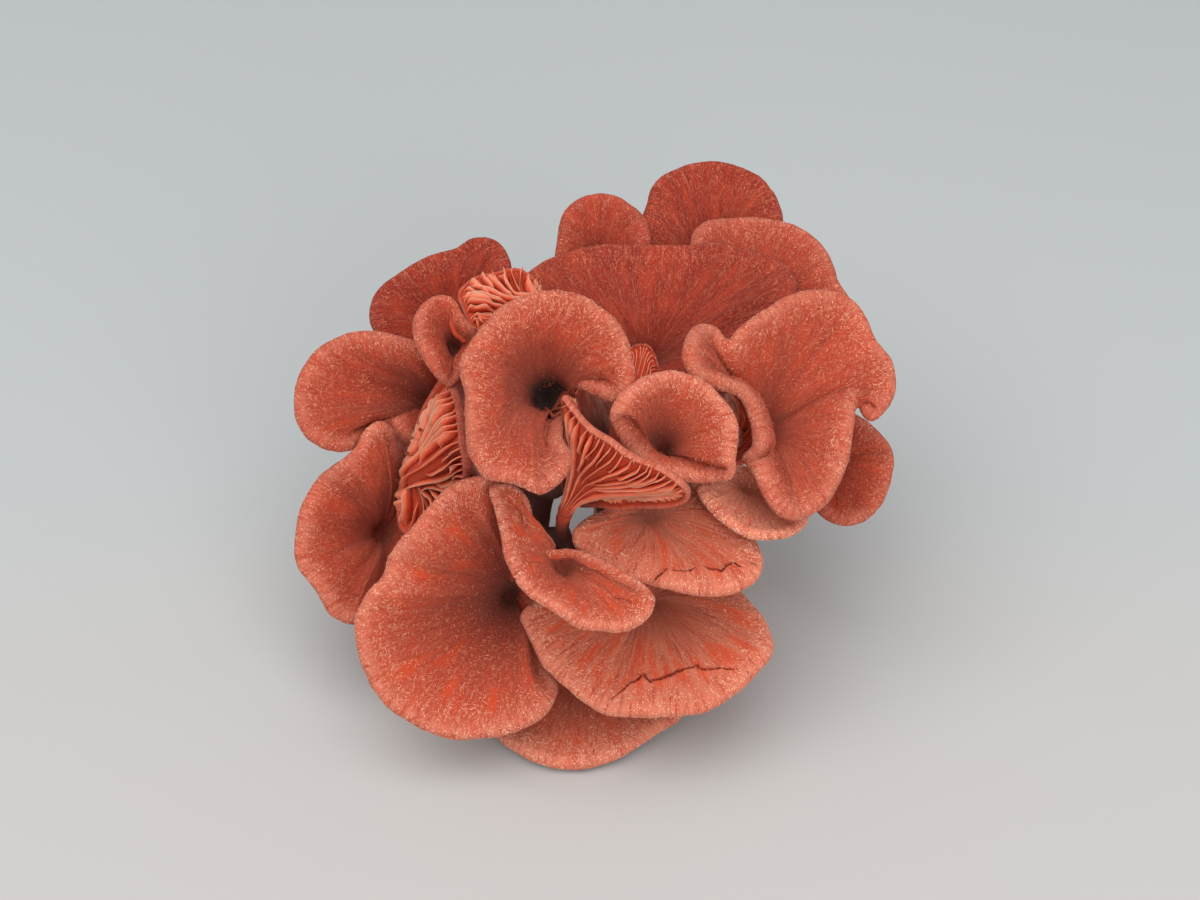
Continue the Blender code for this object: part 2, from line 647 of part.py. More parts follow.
def plain_material(name, colour, roughness):
    material = bpy.data.materials.new(name)
    material.use_nodes = True
    shader = material.node_tree.nodes["Principled BSDF"]
    shader.inputs["Base Color"].default_value = (*colour, 1.0)
    shader.inputs["Roughness"].default_value = roughness
    shader.inputs["Metallic"].default_value = 0.0
    return material


def add_cap(name, cap):
    rings, sense = cap_rings(cap)
    mesh = closed_mesh(name, rings, sense < 0)
    material = plain_material(name + "_flesh", CAP_COLOUR, FLESH_ROUGHNESS)
    thing = add_object(name, mesh, material)
    grow_together(thing, CAP_VOXEL)
    fine_faces = len(thing.data.polygons)
    thin_out(thing, cap.get("faces", CAP_FACES) + fine_faces * FACES_BY_SIZE)
    keep_largest_body(thing.data)


def stem_rings(cap):
    """A tapering tube from the foot to just below the cap's neck."""
    stalk = stalk_direction(cap, heading(*cap["axis"]))
    neck = neck_end(cap) + stalk * JOIN_GAP
    foot_x, foot_y = cap["foot"]
    foot = Vector((foot_x, foot_y, -FOOT_BELOW_CUT))
    reach = (neck - foot).length
    rise = foot + Vector((foot_x * STEM_SPLAY, foot_y * STEM_SPLAY, reach * STEM_RISE))
    arrive = neck + stalk * reach * STEM_ARRIVAL
    top_radius = cap.get("neck_radius", NECK_RADIUS) * STEM_TOP_SHARE
    rings = []
    for step in range(STEM_STEPS + 1):
        t = step / STEM_STEPS
        centre = curve_point(foot, rise, arrive, neck, t)
        ahead = curve_point(foot, rise, arrive, neck, min(t + SLOPE_STEP, 1.0))
        behind = curve_point(foot, rise, arrive, neck, max(t - SLOPE_STEP, 0.0))
        way = (ahead - behind).normalized()
        side = way.cross(STEM_FRONT).normalized()
        front = way.cross(side)
        radius = STEM_FOOT_RADIUS + (top_radius - STEM_FOOT_RADIUS) * min(1.0, STEM_TAPER * t)
        ring = []
        for index in range(STEM_SIDES):
            angle = FULL_TURN * index / STEM_SIDES
            ring.append(centre + (side * math.cos(angle) + front * math.sin(angle)) * radius)
        rings.append(ring)
    return rings


def foot_rings():
    """The lumpy mass that all the stems rise from."""
    rings = []
    for height, spread in FOOT_PROFILE:
        ring = []
        for index in range(FOOT_SIDES):
            angle = FULL_TURN * index / FOOT_SIDES
            lump = 1.0 + 0.06 * math.sin(3 * angle + height * 0.2) + 0.04 * math.cos(5 * angle)
            x = FOOT_HALF_WIDTH * spread * lump * math.cos(angle)
            y = FOOT_HALF_DEPTH * spread * lump * math.sin(angle)
            ring.append(Vector((x, y, height)))
        rings.append(ring)
    return rings


def add_stems():
    """Foot and stems grown together, cut flat where the cluster was picked,
    then parted at the main forks."""
    parts = [closed_mesh("foot", foot_rings(), False)]
    for name, cap in CAPS.items():
        parts.append(closed_mesh(name + "_stem", stem_rings(cap), False))
    joined = bmesh.new()
    for part in parts:
        joined.from_mesh(part)
        bpy.data.meshes.remove(part)
    bmesh.ops.recalc_face_normals(joined, faces=joined.faces)
    mesh = bpy.data.meshes.new("stem_clump")
    joined.to_mesh(mesh)
    joined.free()
    clump = add_object("stem_clump", mesh, plain_material("stem_flesh", STEM_COLOUR, FLESH_ROUGHNESS))
    grow_together(clump, CLUMP_VOXEL)
    thin_out(clump, CLUMP_FACES)
    cut_flat(clump.data)
    keep_largest_body(clump.data)
    forks = add_object("forks", clump.data.copy(), clump.data.materials[0])
    cut_with_core(forks, "DIFFERENCE", CORE_GAP)
    cut_with_core(clump, "INTERSECT", 0.0)
    keep_largest_body(clump.data)
    part_forks(forks)


def cut_with_core(thing, operation, gap):
    """Keep what lies inside the egg-shaped core of the clump, or outside it."""
    mesh = bpy.data.meshes.new("core")
    shape = bmesh.new()
    bmesh.ops.create_icosphere(shape, subdivisions=2, radius=1.0)
    for vert in shape.verts:
        for axis in range(3):
            vert.co[axis] = (CORE_MIDDLE[axis] + vert.co[axis] * (CORE_HALF[axis] + gap)) * MM
    shape.to_mesh(mesh)
    shape.free()
    core = bpy.data.objects.new("core", mesh)
    bpy.context.scene.collection.objects.link(core)
    cut = thing.modifiers.new("Core", "BOOLEAN")
    cut.operation = operation
    cut.solver = "EXACT"
    cut.object = core
    freeze(thing)
    bpy.data.objects.remove(core, do_unlink=True)


def part_forks(forks):
    """Make each loose fork its own object, named after the first cap it bears."""
    shape = bmesh.new()
    shape.from_mesh(forks.data)
    bmesh.ops.triangulate(shape, faces=shape.faces)
    sizes = [len(body) for body in loose_bodies(shape)]
    taken = set()
    for index in range(len(sizes)):
        fork = shape.copy()
        bodies = loose_bodies(fork)
        borne = [name for name, cap in CAPS.items() if is_near(bodies[index], neck_end(cap))]
        for other, body in enumerate(bodies):
            if other != index:
                bmesh.ops.delete(fork, geom=body, context="VERTS")
        name = "stem_" + borne[0].replace("cap_", "") if borne else ""
        if borne and name not in taken:
            taken.add(name)
            mesh = bpy.data.meshes.new(name)
            fork.to_mesh(mesh)
            add_object(name, mesh, forks.data.materials[0])
        fork.free()
    shape.free()
    bpy.data.objects.remove(forks, do_unlink=True)


def is_near(body, place):
    """Whether a body of vertices reaches as far as the place, in millimetres."""
    return min((vert.co / MM - place).length for vert in body) < NECK_NEAR


def grow_together(thing, voxel):
    """One smooth skin round all that the object's surfaces enclose."""
    grown = thing.modifiers.new("Grown together", "REMESH")
    grown.mode = "VOXEL"
    grown.voxel_size = voxel * MM
    freeze(thing)


def thin_out(thing, faces):
    """Take flat detail away until about that many triangles are left."""
    fewer = thing.modifiers.new("Fewer faces", "DECIMATE")
    fewer.ratio = faces / (2 * len(thing.data.polygons))
    freeze(thing)


def freeze(thing):
    """Replace an object's mesh by what its modifiers make of it."""
    graph = bpy.context.evaluated_depsgraph_get()
    mesh = bpy.data.meshes.new_from_object(thing.evaluated_get(graph), depsgraph=graph)
    thing.modifiers.clear()
    thing.data = mesh


def cut_flat(mesh):
    """Cut the mesh off at the floor and shut the cut."""
    shape = bmesh.new()
    shape.from_mesh(mesh)
    cut = bmesh.ops.bisect_plane(
        shape, geom=shape.verts[:] + shape.edges[:] + shape.faces[:], dist=1e-6,
        plane_co=(0, 0, 0), plane_no=(0, 0, 1), clear_inner=True)
    edges = [item for item in cut["geom_cut"] if isinstance(item, bmesh.types.BMEdge)]
    bmesh.ops.holes_fill(shape, edges=edges)
    bmesh.ops.triangulate(shape, faces=shape.faces)
    shape.to_mesh(mesh)
    shape.free()


def keep_largest_body(mesh):
    """Drop the specks that can be left loose beside the main body."""
    shape = bmesh.new()
    shape.from_mesh(mesh)
    for body in loose_bodies(shape)[1:]:
        bmesh.ops.delete(shape, geom=body, context="VERTS")
    shape.to_mesh(mesh)
    shape.free()


def loose_bodies(shape):
    """The connected bodies of a mesh, largest first, as lists of vertices."""
    found = set()
    bodies = []
    for start in shape.verts:
        if start in found:
            continue
        body = [start]
        found.add(start)
        for vert in body:
            for edge in vert.link_edges:
                other = edge.other_vert(vert)
                if other not in found:
                    found.add(other)
                    body.append(other)
        bodies.append(body)
    return sorted(bodies, key=len, reverse=True)


def main():
    for thing in list(bpy.data.objects):
        bpy.data.objects.remove(thing, do_unlink=True)
    add_stems()
    for name, cap in CAPS.items():
        add_cap(name, cap)


main()
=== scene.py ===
"""The dressed view of a picked cluster of pink oyster mushrooms.

Each cap is drawn again on a fine grid through the same outline points as its
solid: velvety skin with a rolled margin, thin gill blades underneath, cracks
where it has dried, and fuzz.  The stems and their foot are one fibrous piece.

Lengths are in millimetres until a mesh is made.  The origin is the middle of
the flat cut, +X is to the right, +Y away and +Z up, as seen from in front.
"""

import math
from contextlib import contextmanager

import bmesh
import bpy
import numpy as np
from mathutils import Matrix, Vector
from mathutils.bvhtree import BVHTree

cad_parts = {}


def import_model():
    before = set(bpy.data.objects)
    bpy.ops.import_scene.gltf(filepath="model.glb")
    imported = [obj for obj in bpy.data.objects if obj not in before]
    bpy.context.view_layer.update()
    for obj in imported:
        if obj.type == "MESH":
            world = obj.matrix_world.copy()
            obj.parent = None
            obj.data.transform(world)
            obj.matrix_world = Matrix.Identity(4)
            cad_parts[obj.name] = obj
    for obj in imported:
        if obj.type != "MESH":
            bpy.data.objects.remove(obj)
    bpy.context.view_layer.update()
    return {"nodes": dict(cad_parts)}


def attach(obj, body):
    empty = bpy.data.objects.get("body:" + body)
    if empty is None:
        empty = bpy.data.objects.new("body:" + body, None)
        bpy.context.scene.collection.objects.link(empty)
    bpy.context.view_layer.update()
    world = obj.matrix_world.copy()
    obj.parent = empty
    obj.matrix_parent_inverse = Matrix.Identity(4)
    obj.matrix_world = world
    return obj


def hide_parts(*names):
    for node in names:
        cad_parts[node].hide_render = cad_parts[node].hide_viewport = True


MM = 0.001
FULL_TURN = 2 * math.pi
TINY = 1e-6
SHORTEST = 1e-9

# Multipliers and masks that stir a lattice corner into a number.
HASH_X = 73856093
HASH_Y = 19349663
HASH_Z = 83492791
HASH_SEED = 2654435761
HASH_STIR = 1274126177
LOW_32_BITS = 0xFFFFFFFF
LOW_24_BITS = 0xFFFFFF
HALF_RANGE = float(0x7FFFFF)

# The caps are laid out as they are seen from in front and above.  A place is
# (x, y, toward): millimetres right and up in that view, and nearer to the eye.
VIEW_ELEVATION = math.radians(38.0)
VIEW_DISTANCE = 570.0
MIDDLE = np.array((0.0, 0.0, 55.0))
RIGHT = np.array((1.0, 0.0, 0.0))
UP = np.array((0.0, math.sin(VIEW_ELEVATION), math.cos(VIEW_ELEVATION)))
TOWARD = np.array((0.0, -math.cos(VIEW_ELEVATION), math.sin(VIEW_ELEVATION)))
SENSOR_WIDTH = 36.0
LENS = 68.4
CLIP_START = 0.01

# Rolled margin and flesh of a cap, as in its solid.  The margin is fully rolled
# only where the cap is long and wide enough.
LIP_TURN = math.radians(125.0)
THINNEST_LIP = 0.15
FULL_LIP_SPAN = 11.0
FULL_LIP_WIDTH = 9.0
MARGIN_THICKNESS = 1.2
CENTRE_THICKNESS = 2.6
FULLEST_PINCH = 0.55
LEAST_SQUEEZE = 0.01
CREST_STEPS = 12

# A lobe's width is measured straight across to the crest's other side.
WIDE_OPEN = 100.0
SAME_SIDE_SHARE = 0.1
OPPOSITE_COSINE = 0.6

# The curve from the throat up to the crest, and how evenly its columns turn.
THROAT_RADIUS = 1.6
THROAT_SHARE = 0.2
RISE_SPREAD = 0.12
FLARE_SPAN_SHARE = 0.45
FLARE_WIDTH_SHARE = 0.38
SPOKE_EVENNESS = 0.65

# The neck under the throat.
NECK_WAIST = 0.9
NECK_ROOM = 0.5
NECK_SINK = 0.6
NECK_INTO_STEM = 1.6
NECK_TAPER = 0.96

# The stems and the mass at their foot, as in their solids.
STEM_FOOT_RADIUS = 5.2
STEM_TOP_SHARE = 0.92
STEM_TAPER = 1.4
STEM_SPLAY = 0.15
STEM_RISE = 0.42
STEM_ARRIVAL = 0.3
STEM_SIDES = 16
STEM_STEPS = 16
STEM_FRONT = np.array((0.3, 0.8, 0.5))
JOIN_GAP = 0.6
FOOT_HALF_WIDTH = 22.0
FOOT_HALF_DEPTH = 18.0
FOOT_BELOW_CUT = 4.0
FOOT_PROFILE = ((-4.0, 0.93), (3.0, 1.0), (9.0, 0.95), (14.0, 0.72), (17.0, 0.4))
FOOT_SIDES = 32
FOOT_LUMPS = 3
FOOT_LUMP = 0.06
FOOT_TWIST = 0.2
FOOT_RIPPLES = 5
FOOT_RIPPLE = 0.04
KNOB_PROFILE = ((0.0, 1.0), (0.55, 1.0), (0.8, 0.92), (0.93, 0.66), (1.0, 0.3))

# The stems' surface: how finely it is joined, its grooves and its lumps.
CLUMP_VOXEL = 1.05
CLUMP_SMOOTHING = 3
GROOVE_DEPTH = 0.16
GROOVE_SIZE = 1.6
GROOVE_STRETCH = np.array((1.0, 1.0, 0.18))
GROOVE_SEED = 71
LUMP_DEPTH = 0.35
LUMP_SIZE = 7.0
LUMP_SEED = 72

# How fine the skin grid is.  The number of rows goes by the cap's usual span,
# which this many in a hundred of its columns stay under.
CELL = 0.9
LEAST_COLUMNS = 72
MOST_COLUMNS = 260
USUAL_SPAN = 75
ROW_CELL = 1.4
TOP_ROWS = (14, 64)
UNDER_CELL = 1.9
UNDER_ROWS = (10, 36)
LIP_ROWS = 7
LIP_DEPTH = 0.1
INNER_LIP_TURNS = (0.95, 0.6)
UNDER_SPAN = (0.94, 0.2)
UNDER_DEPTH = 1.3
UNDER_FLOW = (1.1, 2.0)
FLESH_EDGE = (1.0, 0.85)
NECK_BLEND = 4
FLOW_STEP = 0.02
LAST_ROW_GAP = 1.001
ROUND_STEP = 2
ROUND_SMOOTHING = 3
LEAST_FACING = -0.25
SOFTEN_IN = (0.0, 0.3)
SOFTEN_OUT = (1.0, 0.75)

# The way out and the lobe widths are evened out over the columns round the
# crest: over one in so many of them.
TANGENT_DIVISIONS = 64
OUTWARD_DIVISIONS = 90
WIDTH_DIVISIONS = 50

# How the margin and the skin are ruffled.  Waves: which way, size and share.
# Reliefs: height, size and seed.  Wrinkles: share, size, stretch and seed.
MARGIN_WAVE = 0.35
FULL_WAVE_WIDTH = 14.0
MARGIN_WAVES = (("outward", 5.0, 1.0), ("outward", 2.1, 0.4), ("axis", 8.0, 1.3))
RELIEFS = ((0.5, 13.0, 0), (0.14, 4.5, 3))
WRINKLE = 0.11
WRINKLES = ((1.0, 0.95, 0.16, 4), (0.6, 0.5, 0.3, 5))
RELIEF_IN = (0.05, 0.45)
RELIEF_OUT = (0.92, 1.03)
RELIEF_LOSS = 0.75

# Worn patches: how long they are, their noises (share, size and seed), where
# they start and stop on the way out, and from which noise on there is one.
PATCH_STRETCH = np.array((1.0, 1.0, 0.32))
PATCH_NOISES = ((1.0, 2.6, 11), (0.5, 1.2, 12))
PATCH_IN = (0.30, 0.52)
PATCH_OUT = (0.80, 0.97)
PATCH_NOISE_RANGE = (0.05, 0.62)

# Cracks: depth, how far the lower side lifts, how jagged they run (which way,
# how far, size and seed), how their width varies (share, size and seed), and
# how wide the faces round them are split each time.
CRACK_DEPTH = 0.9
CRACK_LIFT = 0.4
CRACK_STEP = 0.25
CRACK_JITTER = ((0, 0.175, 0.7, 42), (1, 0.35, 0.9, 41))
CRACK_WIDTH_JITTER = (0.4, 1.1, 43)
CRACK_FLOOR = 0.35
CRACK_RIM = 4.5
CRACK_SPLITS = (2.2, 1.3, 0.8)
CRACKED_DEPTHS = (0.05, 1.04)

# Gill blades: half their thickness, how deep they reach into the flesh, how far
# in they run by turns, where they rise and fall, and their section (height and
# half thickness).  A ray from a little way out finds what lies before a blade.
GILL_HALF_THICKNESS = 0.24
GILL_INTO_FLESH = 0.6
GILL_SINK = 0.25
GILL_ENDS = (0.86, 0.30, 0.55, 0.30)
GILL_END_SCATTER = 0.05
GILL_RISE = (0.0, 0.16)
GILL_FALL = (0.72, 1.0)
BLADE_SECTION = ((0.0, -1.0), (0.55, -0.62), (1.0, 0.0), (0.55, 0.62), (0.0, 1.0))
CLEARING_START = 0.75
RAY_START = 0.35

# How the blades sway, swell and lean: the step in the noise from one blade to
# the next, a finer ripple, and how much of each there is.
GILL_SHIFT = 3.7
RIPPLE = 0.5
RIPPLE_LENGTH = 0.45
SWELL = 0.12
SWELL_PACE = 2.3
LEAN = 1.4
LEAN_LENGTH = 0.8
LEAN_SHIFT = 50.0
LEAN_CURVE = 1.5

# Crowded blades: the share of their usual spacing below which they are, and
# what is left of their depth and thickness where there is no room at all.
GILL_FULL_PITCH = 0.75
NARROWEST_PITCH = 0.02
CROWDED_DEPTH = 0.45
CROWDED_THICKNESS = 0.4

# Fuzz: fibres to a square millimetre in the hollow, half-way and at the margin,
# where that changes, and how many are left out on the lip and on worn patches.
FUZZ_HOLLOW = 2.1
FUZZ_MIDDLE = 4.2
FUZZ_MARGIN = 5.7
FUZZ_MIDDLE_FROM = (0.15, 0.6)
FUZZ_BARE_FROM = (1.06, 1.1)
FUZZ_BARENESS = 0.85
FUZZ_WORN = 0.8

# Tufts: where the noise is high the fibres stand closer.
TUFT_STRETCH = np.array((1.0, 1.0, 0.6))
TUFT_SIZE = 1.3
TUFT_LEAST = 0.85
TUFT_GAIN = 0.3
TUFT_RANGE = (-0.4, 0.7)

# How the fibres lie: combed ways and bends in radians, and how steeply they
# rise (mean and scatter), less so at the rim.
TANGLE_SIZE = 1.6
COMB_SCATTER = 0.4
BEND_SCATTER = 0.8
LIFT = (0.45, 0.25)
LIFT_RANGE = (0.08, 1.3)
RIM_FROM = (0.86, 1.0)
RIM_LIFT_LOSS = 0.65

# How long they are: shorter in the hollow, at the rim and over cracks.
SHORTEST_FIBRE = 0.55
FIBRE_SCATTER = 0.75
HOLLOW_LENGTH = 0.7
HOLLOW_LENGTH_TO = (0.3, 0.8)
RIM_LENGTH_LOSS = 0.4
CRACK_BALDNESS = 0.9
CRACK_BALD_REACH = 3.0

# The shape of a fibre: its two parts (turn, rise and share of the length), and
# the faces over its five corners.
FUZZ_WIDTH = 0.155
FUZZ_ROOT = 0.05
FIBRE_PARTS = ((0.0, 1.0, 0.55), (1.0, 0.35, 0.5))
FIBRE_TAPER = 0.8
FIBRE_FACES = ((0, 1, 3), (0, 3, 2), (2, 3, 4))

# How pale they are, by chance, tuft, rim and the cap's redness and painted shade, and at each corner.
PALENESS = 0.05
PALE_SCATTER = 0.6
TUFT_PALENESS = 0.1
TUFT_PALE_RANGE = (-0.3, 0.8)
RIM_PALENESS = 0.22
RIM_PALE_FROM = (0.7, 1.0)
RED_AND_SHADE_DULLS = 0.35
FIBRE_PALENESS = np.array((-0.25, -0.25, 0.0, 0.0, 0.15))

# One entry for each mushroom.
#   lie         nearness of the crest's plane at the throat, its slope to the
#               right and its slope up the view
#   throat      x, y and how far the throat lies behind that plane
#   axis        the way the hollow of the cap opens
#   crest       points round the outline: x, y and, for those that stand before
#               the plane, how far
#   foot        where the stem leaves the clump, x and y in the base's own plane
#   brim        how steeply the cap still climbs at its crest, in degrees
#   reach       how far the flare runs in from the crest
#   lip         radius of the rolled margin
#   gill_depth  how far the gill ridges stand out
#   stalk       the way the stem leaves the cap, in space; without it the stem
#               carries on down the axis
#   neck, lean  length of the cap's own neck, and how far it leans to the axis
#   neck_radius how thick the neck and the top of the stem are
CAPS = {
    "cap_front_ear": {
        "lie": (45.0, -0.08, -0.42), "throat": (-13.0, 11.0, 26.0), "axis": (-0.12, 0.35, 1.0),
        "foot": (-20.0, -2.0), "brim": 8.0, "reach": 9.0,
        "crest": (
            (-34, 15), (-35, 23), (-30.5, 30), (-24, 37), (-17, 39.8), (-9, 40.5), (-2, 38), (4.8, 31.5),
            (8, 22, -2), (7.6, 16, -4), (3.6, 13, -6), (-2, 15, -9), (-7.2, 16.4, -14), (-9, 12, -19),
            (-10, 7, -13), (-9.4, 3, -4), (-7.8, -1.5), (-9.8, -6, 1), (-15, -10, 2), (-22, -7.5, 2),
            (-28.5, -6.2, 2), (-32.5, -1.5, 1), (-34, 6),
        ),
    },
    "cap_top_fan": {
        "lie": (12.0, 0.0, -0.95), "throat": (12.0, 21.0, 19.0), "axis": (0.0, 0.75, 0.9),
        "foot": (4.0, 5.0), "brim": 18.0, "reach": 12.0,
        "crest": (
            (-20, 43), (-14, 48), (-5, 51), (6, 52.2), (19, 51.8), (31, 52), (41, 49.5), (47, 46),
            (48.5, 40, -1), (42, 29, -5), (30, 19, -9), (17, 13, -11), (8, 14.5, -11), (1, 24, -7),
            (-12, 34, -3), (-19.5, 39, -1),
        ),
    },
    "cap_top_dome": {
        "lie": (-22.0, 0.0, -0.55), "throat": (27.0, 44.0, 9.0), "axis": (0.0, 0.45, 1.0),
        "foot": (5.0, 11.0), "brim": 14.0, "reach": 9.0,
        "crest": (
            (10.2, 54), (11.5, 61), (14.5, 67.5), (20.5, 71.5), (27.5, 72.8), (34, 71.8), (40.5, 68.5),
            (44.8, 62), (45.5, 54), (40, 45, -2), (32, 40, -4), (22, 40, -4), (14, 46, -2),
        ),
    },
    "cap_small_dome": {
        "lie": (-20.0, 0.1, -0.5), "throat": (0.0, 46.0, 8.0), "axis": (-0.1, 0.5, 1.0),
        "foot": (3.0, 11.0), "brim": 14.0, "reach": 7.0,
        "crest": (
            (-10.8, 48), (-10.3, 54), (-9, 60), (-4.5, 63.6), (0.8, 64.8), (6.5, 62.5), (10.8, 58.5),
            (12, 50, -1), (7, 43.5, -3), (0, 41.5, -4), (-7, 43.5, -2),
        ),
    },
    "cap_back_right": {
        "lie": (-12.0, -0.05, -0.62), "throat": (42.0, 36.0, 10.0), "axis": (0.1, 0.6, 1.0),
        "foot": (10.0, 9.0), "brim": 14.0, "reach": 10.0,
        "crest": (
            (23.3, 53), (26.5, 57.5), (32.5, 58.6), (41, 58.6), (48, 57.5), (53, 54.2), (57, 50),
            (59.5, 44), (63, 37), (60, 29, -2), (52, 25, -4), (42, 27, -6), (33, 33, -5), (26, 43, -2),
        ),
    },
    "cap_right_funnel": {
        "lie": (26.3, -0.35, -0.40), "throat": (38.5, 4.0, 28.3), "axis": (0.3, 0.35, 1.0),
        "foot": (9.0, 0.0), "brim": 22.0, "reach": 8.0,
        "crest": (
            (32.8, 27.5, -4), (37, 31.5, -2), (41.8, 35), (48.8, 39), (56.3, 39.8), (63.5, 38), (67, 33),
            (69.3, 27), (73.3, 22, 1), (74, 15.5, 1), (71, 10.5, 2), (68.5, 9.3), (66, 13.0, -2),
            (63.6, 10.5), (62.8, 3, 1), (61.5, -4, 1), (57.5, -11, 2), (51, -15.8, 3), (46, -14.8, 3),
            (42.5, -9.5, 3), (39.5, -3.5, 2), (37.2, -1.5, -2), (40, 2.5, -4), (38.8, 9, -3),
            (36, 14.5, -1), (30, 17, 1), (24.5, 19.5, 2), (22.3, 25), (24.5, 30.5, -3), (29, 30.8, -5),
        ),
    },
    "cap_right_back": {
        "lie": (-8.0, 0.0, -0.3), "throat": (55.0, -4.0, 6.0), "axis": (0.35, 0.25, 1.0),
        "foot": (14.0, 3.0), "brim": 10.0, "reach": 7.0,
        "crest": (
            (60, 9.5), (65, 8.5), (70, 5), (74, -0.5), (73.2, -8), (69.5, -15.2), (63.5, -18),
            (57.5, -16.5), (52, -10, -1), (51, -1, -2), (54.5, 6, -1),
        ),
    },
    "cap_small_funnel": {
        "lie": (44.0, -0.25, -0.35), "throat": (15.0, -1.0, 24.0), "axis": (-0.05, 0.3, 1.0),
        "foot": (4.0, -4.0), "brim": 22.0, "reach": 6.0,
        "crest": (
            (3.4, 9.5, -2), (5.5, 14), (11, 18), (17.5, 20), (24, 18.3), (29.5, 14), (33, 9),
            (33.8, 4, -1), (33.2, -1.5, -2), (32.5, -5.5, -5), (27, -6.5, -11), (20, -6.5, -14),
            (13, -4.5, -15), (8, 0, -13), (4.8, 5.5, -7),
        ),
    },
    "cap_centre_gills": {
        "lie": (26.0, 0.35, 0.35), "throat": (-4.5, -8.5, -2.0), "axis": (0.45, 0.55, -0.62),
        "foot": (0.0, -3.0), "stalk": (-0.25, 0.35, -0.9), "neck_radius": 2.0, "brim": 4.0, "reach": 5.0,
        "lip": 1.9, "gill_depth": 1.3,
        "crest": (
            (-8.3, 14.5, 2), (-5.2, 11, 5), (-1.5, 6.8, 8), (4, 3.5, 10), (9.5, -0.2, 11), (16, -3, 12),
            (21.5, -7, 11), (23.3, -10.2, 7), (20, -12.5, 3), (11, -13, -3), (2, -13, -7), (-5, -12, -9),
            (-8.6, -7, -9), (-7.8, 1, -7), (-7.6, 9, -2),
        ),
    },
    "cap_between": {
        "lie": (17.5, 0.1, 0.1), "throat": (8.5, 15.5, -3.0), "axis": (0.2, 0.4, -0.9),
        "foot": (3.0, 1.0), "stalk": (-0.1, -0.12, -1.0), "neck": 7.0, "lean": 1.6, "brim": 4.0,
        "reach": 4.0, "lip": 1.0,
        "crest": (
            (5, 22), (8.5, 26), (12, 26.3), (14.2, 23), (15.5, 18), (15, 13, -1), (9, 11, -1),
            (4, 12, -1), (3, 16),
        ),
    },
    "cap_small_strap": {
        "lie": (22.0, -0.25, -0.75), "throat": (37.0, -10.5, 12.0), "axis": (0.0, 0.7, 0.8),
        "foot": (8.0, -6.0), "brim": 26.0, "reach": 4.0, "lip": 1.6,
        "crest": (
            (20.8, -4.2), (23.5, -3.2), (25.5, -9.5, 1), (29, -14.5, 1), (34, -18, 1), (39.5, -20.2, 1),
            (46, -20, 1), (50.3, -17.8), (51, -14.5, -1), (47, -8, -6), (40, -4.5, -9), (32, -3, -7),
            (25, -2.2, -3),
        ),
    },
    "cap_middle_fan": {
        "lie": (18.0, 0.05, -0.62), "throat": (13.0, -17.0, 4.5), "axis": (0.0, 0.75, 0.85),
        "foot": (3.0, -8.0), "stalk": (0.0, 0.75, -0.65), "brim": -22.0, "reach": 8.0,
        "crest": (
            (0, -14.5), (-4.5, -17, 1), (-7.5, -20.2, 2), (-6.5, -23.8, 1), (-1, -27.3), (6, -31.5),
            (14, -33.8), (25, -36.2), (33, -35.3), (39.3, -32.5), (41.7, -28), (39.5, -22),
            (34.5, -14, -1), (26, -9.5, -2), (16, -9.5, -2), (7, -11, -2),
        ),
    },
    "cap_lower_fan": {
        "lie": (9.0, 0.05, -0.66), "throat": (12.0, -38.0, 5.5), "axis": (0.0, 0.75, 0.85),
        "foot": (6.0, -12.0), "stalk": (-0.2, 0.8, -0.55), "brim": -20.0, "reach": 10.0,
        "crest": (
            (-17, -37.5), (-20.5, -41), (-18.8, -46), (-15, -52.5), (-10, -58), (-4.5, -62.5),
            (3, -65.8), (13, -66.4), (23, -65.8), (31, -63), (37, -58.5), (43.2, -51), (43.3, -45),
            (38, -37.5), (32, -31.5, -1), (22, -30, -2), (12, -29.5, -3), (2, -30.5, -3), (-9, -34, -1),
        ),
    },
    "cap_front_curl": {
        "lie": (40.0, 0.05, -0.25), "throat": (-9.5, -30.0, 19.0), "axis": (0.25, 0.5, 0.9),
        "foot": (-5.0, -8.0), "stalk": (0.2, 0.9, -0.45), "brim": 0.0, "reach": 5.0, "lip": 1.7,
        "crest": (
            (-27, -8.5), (-26.3, -13), (-24.8, -19), (-23.5, -25), (-21, -31), (-17, -35.8),
            (-11, -39.5), (-5, -43.5), (2, -44.7), (9, -43.8), (13.5, -40), (13.5, -35, -1),
            (7, -30, -4), (-1, -26, -7), (-8, -24.5, -9), (-12.5, -24.5, -8), (-15.3, -21.5, -5),
            (-16.2, -17, -3), (-18, -11.5, -1), (-22, -8, -1),
        ),
    },
    "cap_left_funnel": {
        "lie": (27.0, -0.05, 0.12), "throat": (-27.0, -38.0, 30.0), "axis": (0.25, 0.15, 1.0),
        "foot": (-10.0, -9.0), "brim": 8.0, "reach": 11.0,
        "crest": (
            (-28.5, -6.6, -1), (-36, -8.2), (-41.5, -13.5, 1), (-47.5, -20, 1), (-52, -26), (-54, -31.5),
            (-58.5, -36.5), (-60.5, -44), (-59, -53), (-53.5, -63), (-45.5, -68.5), (-36, -72),
            (-27, -71.5), (-18, -69), (-11.5, -63.5, -3), (-11, -57.5, -10), (-14.5, -50, -18),
            (-16, -42, -25), (-15, -33, -27), (-15.5, -24, -21), (-18, -16, -13), (-22.5, -10.5, -5),
        ),
    },
    "cap_bottom": {
        "lie": (-1.0, 0.0, -0.70), "throat": (-4.0, -56.0, 3.0), "axis": (0.0, 0.8, 0.8),
        "foot": (-2.0, -14.0), "stalk": (0.0, 0.97, -0.2), "brim": -12.0, "reach": 7.0,
        "crest": (
            (-25.5, -71.5), (-21.5, -74.5), (-16, -77.5), (-9, -79), (-1, -78), (7, -75), (14, -70.5),
            (20, -66.5), (23, -61), (18, -54, -2), (8, -48, -4), (-4, -46, -5), (-16, -50, -3),
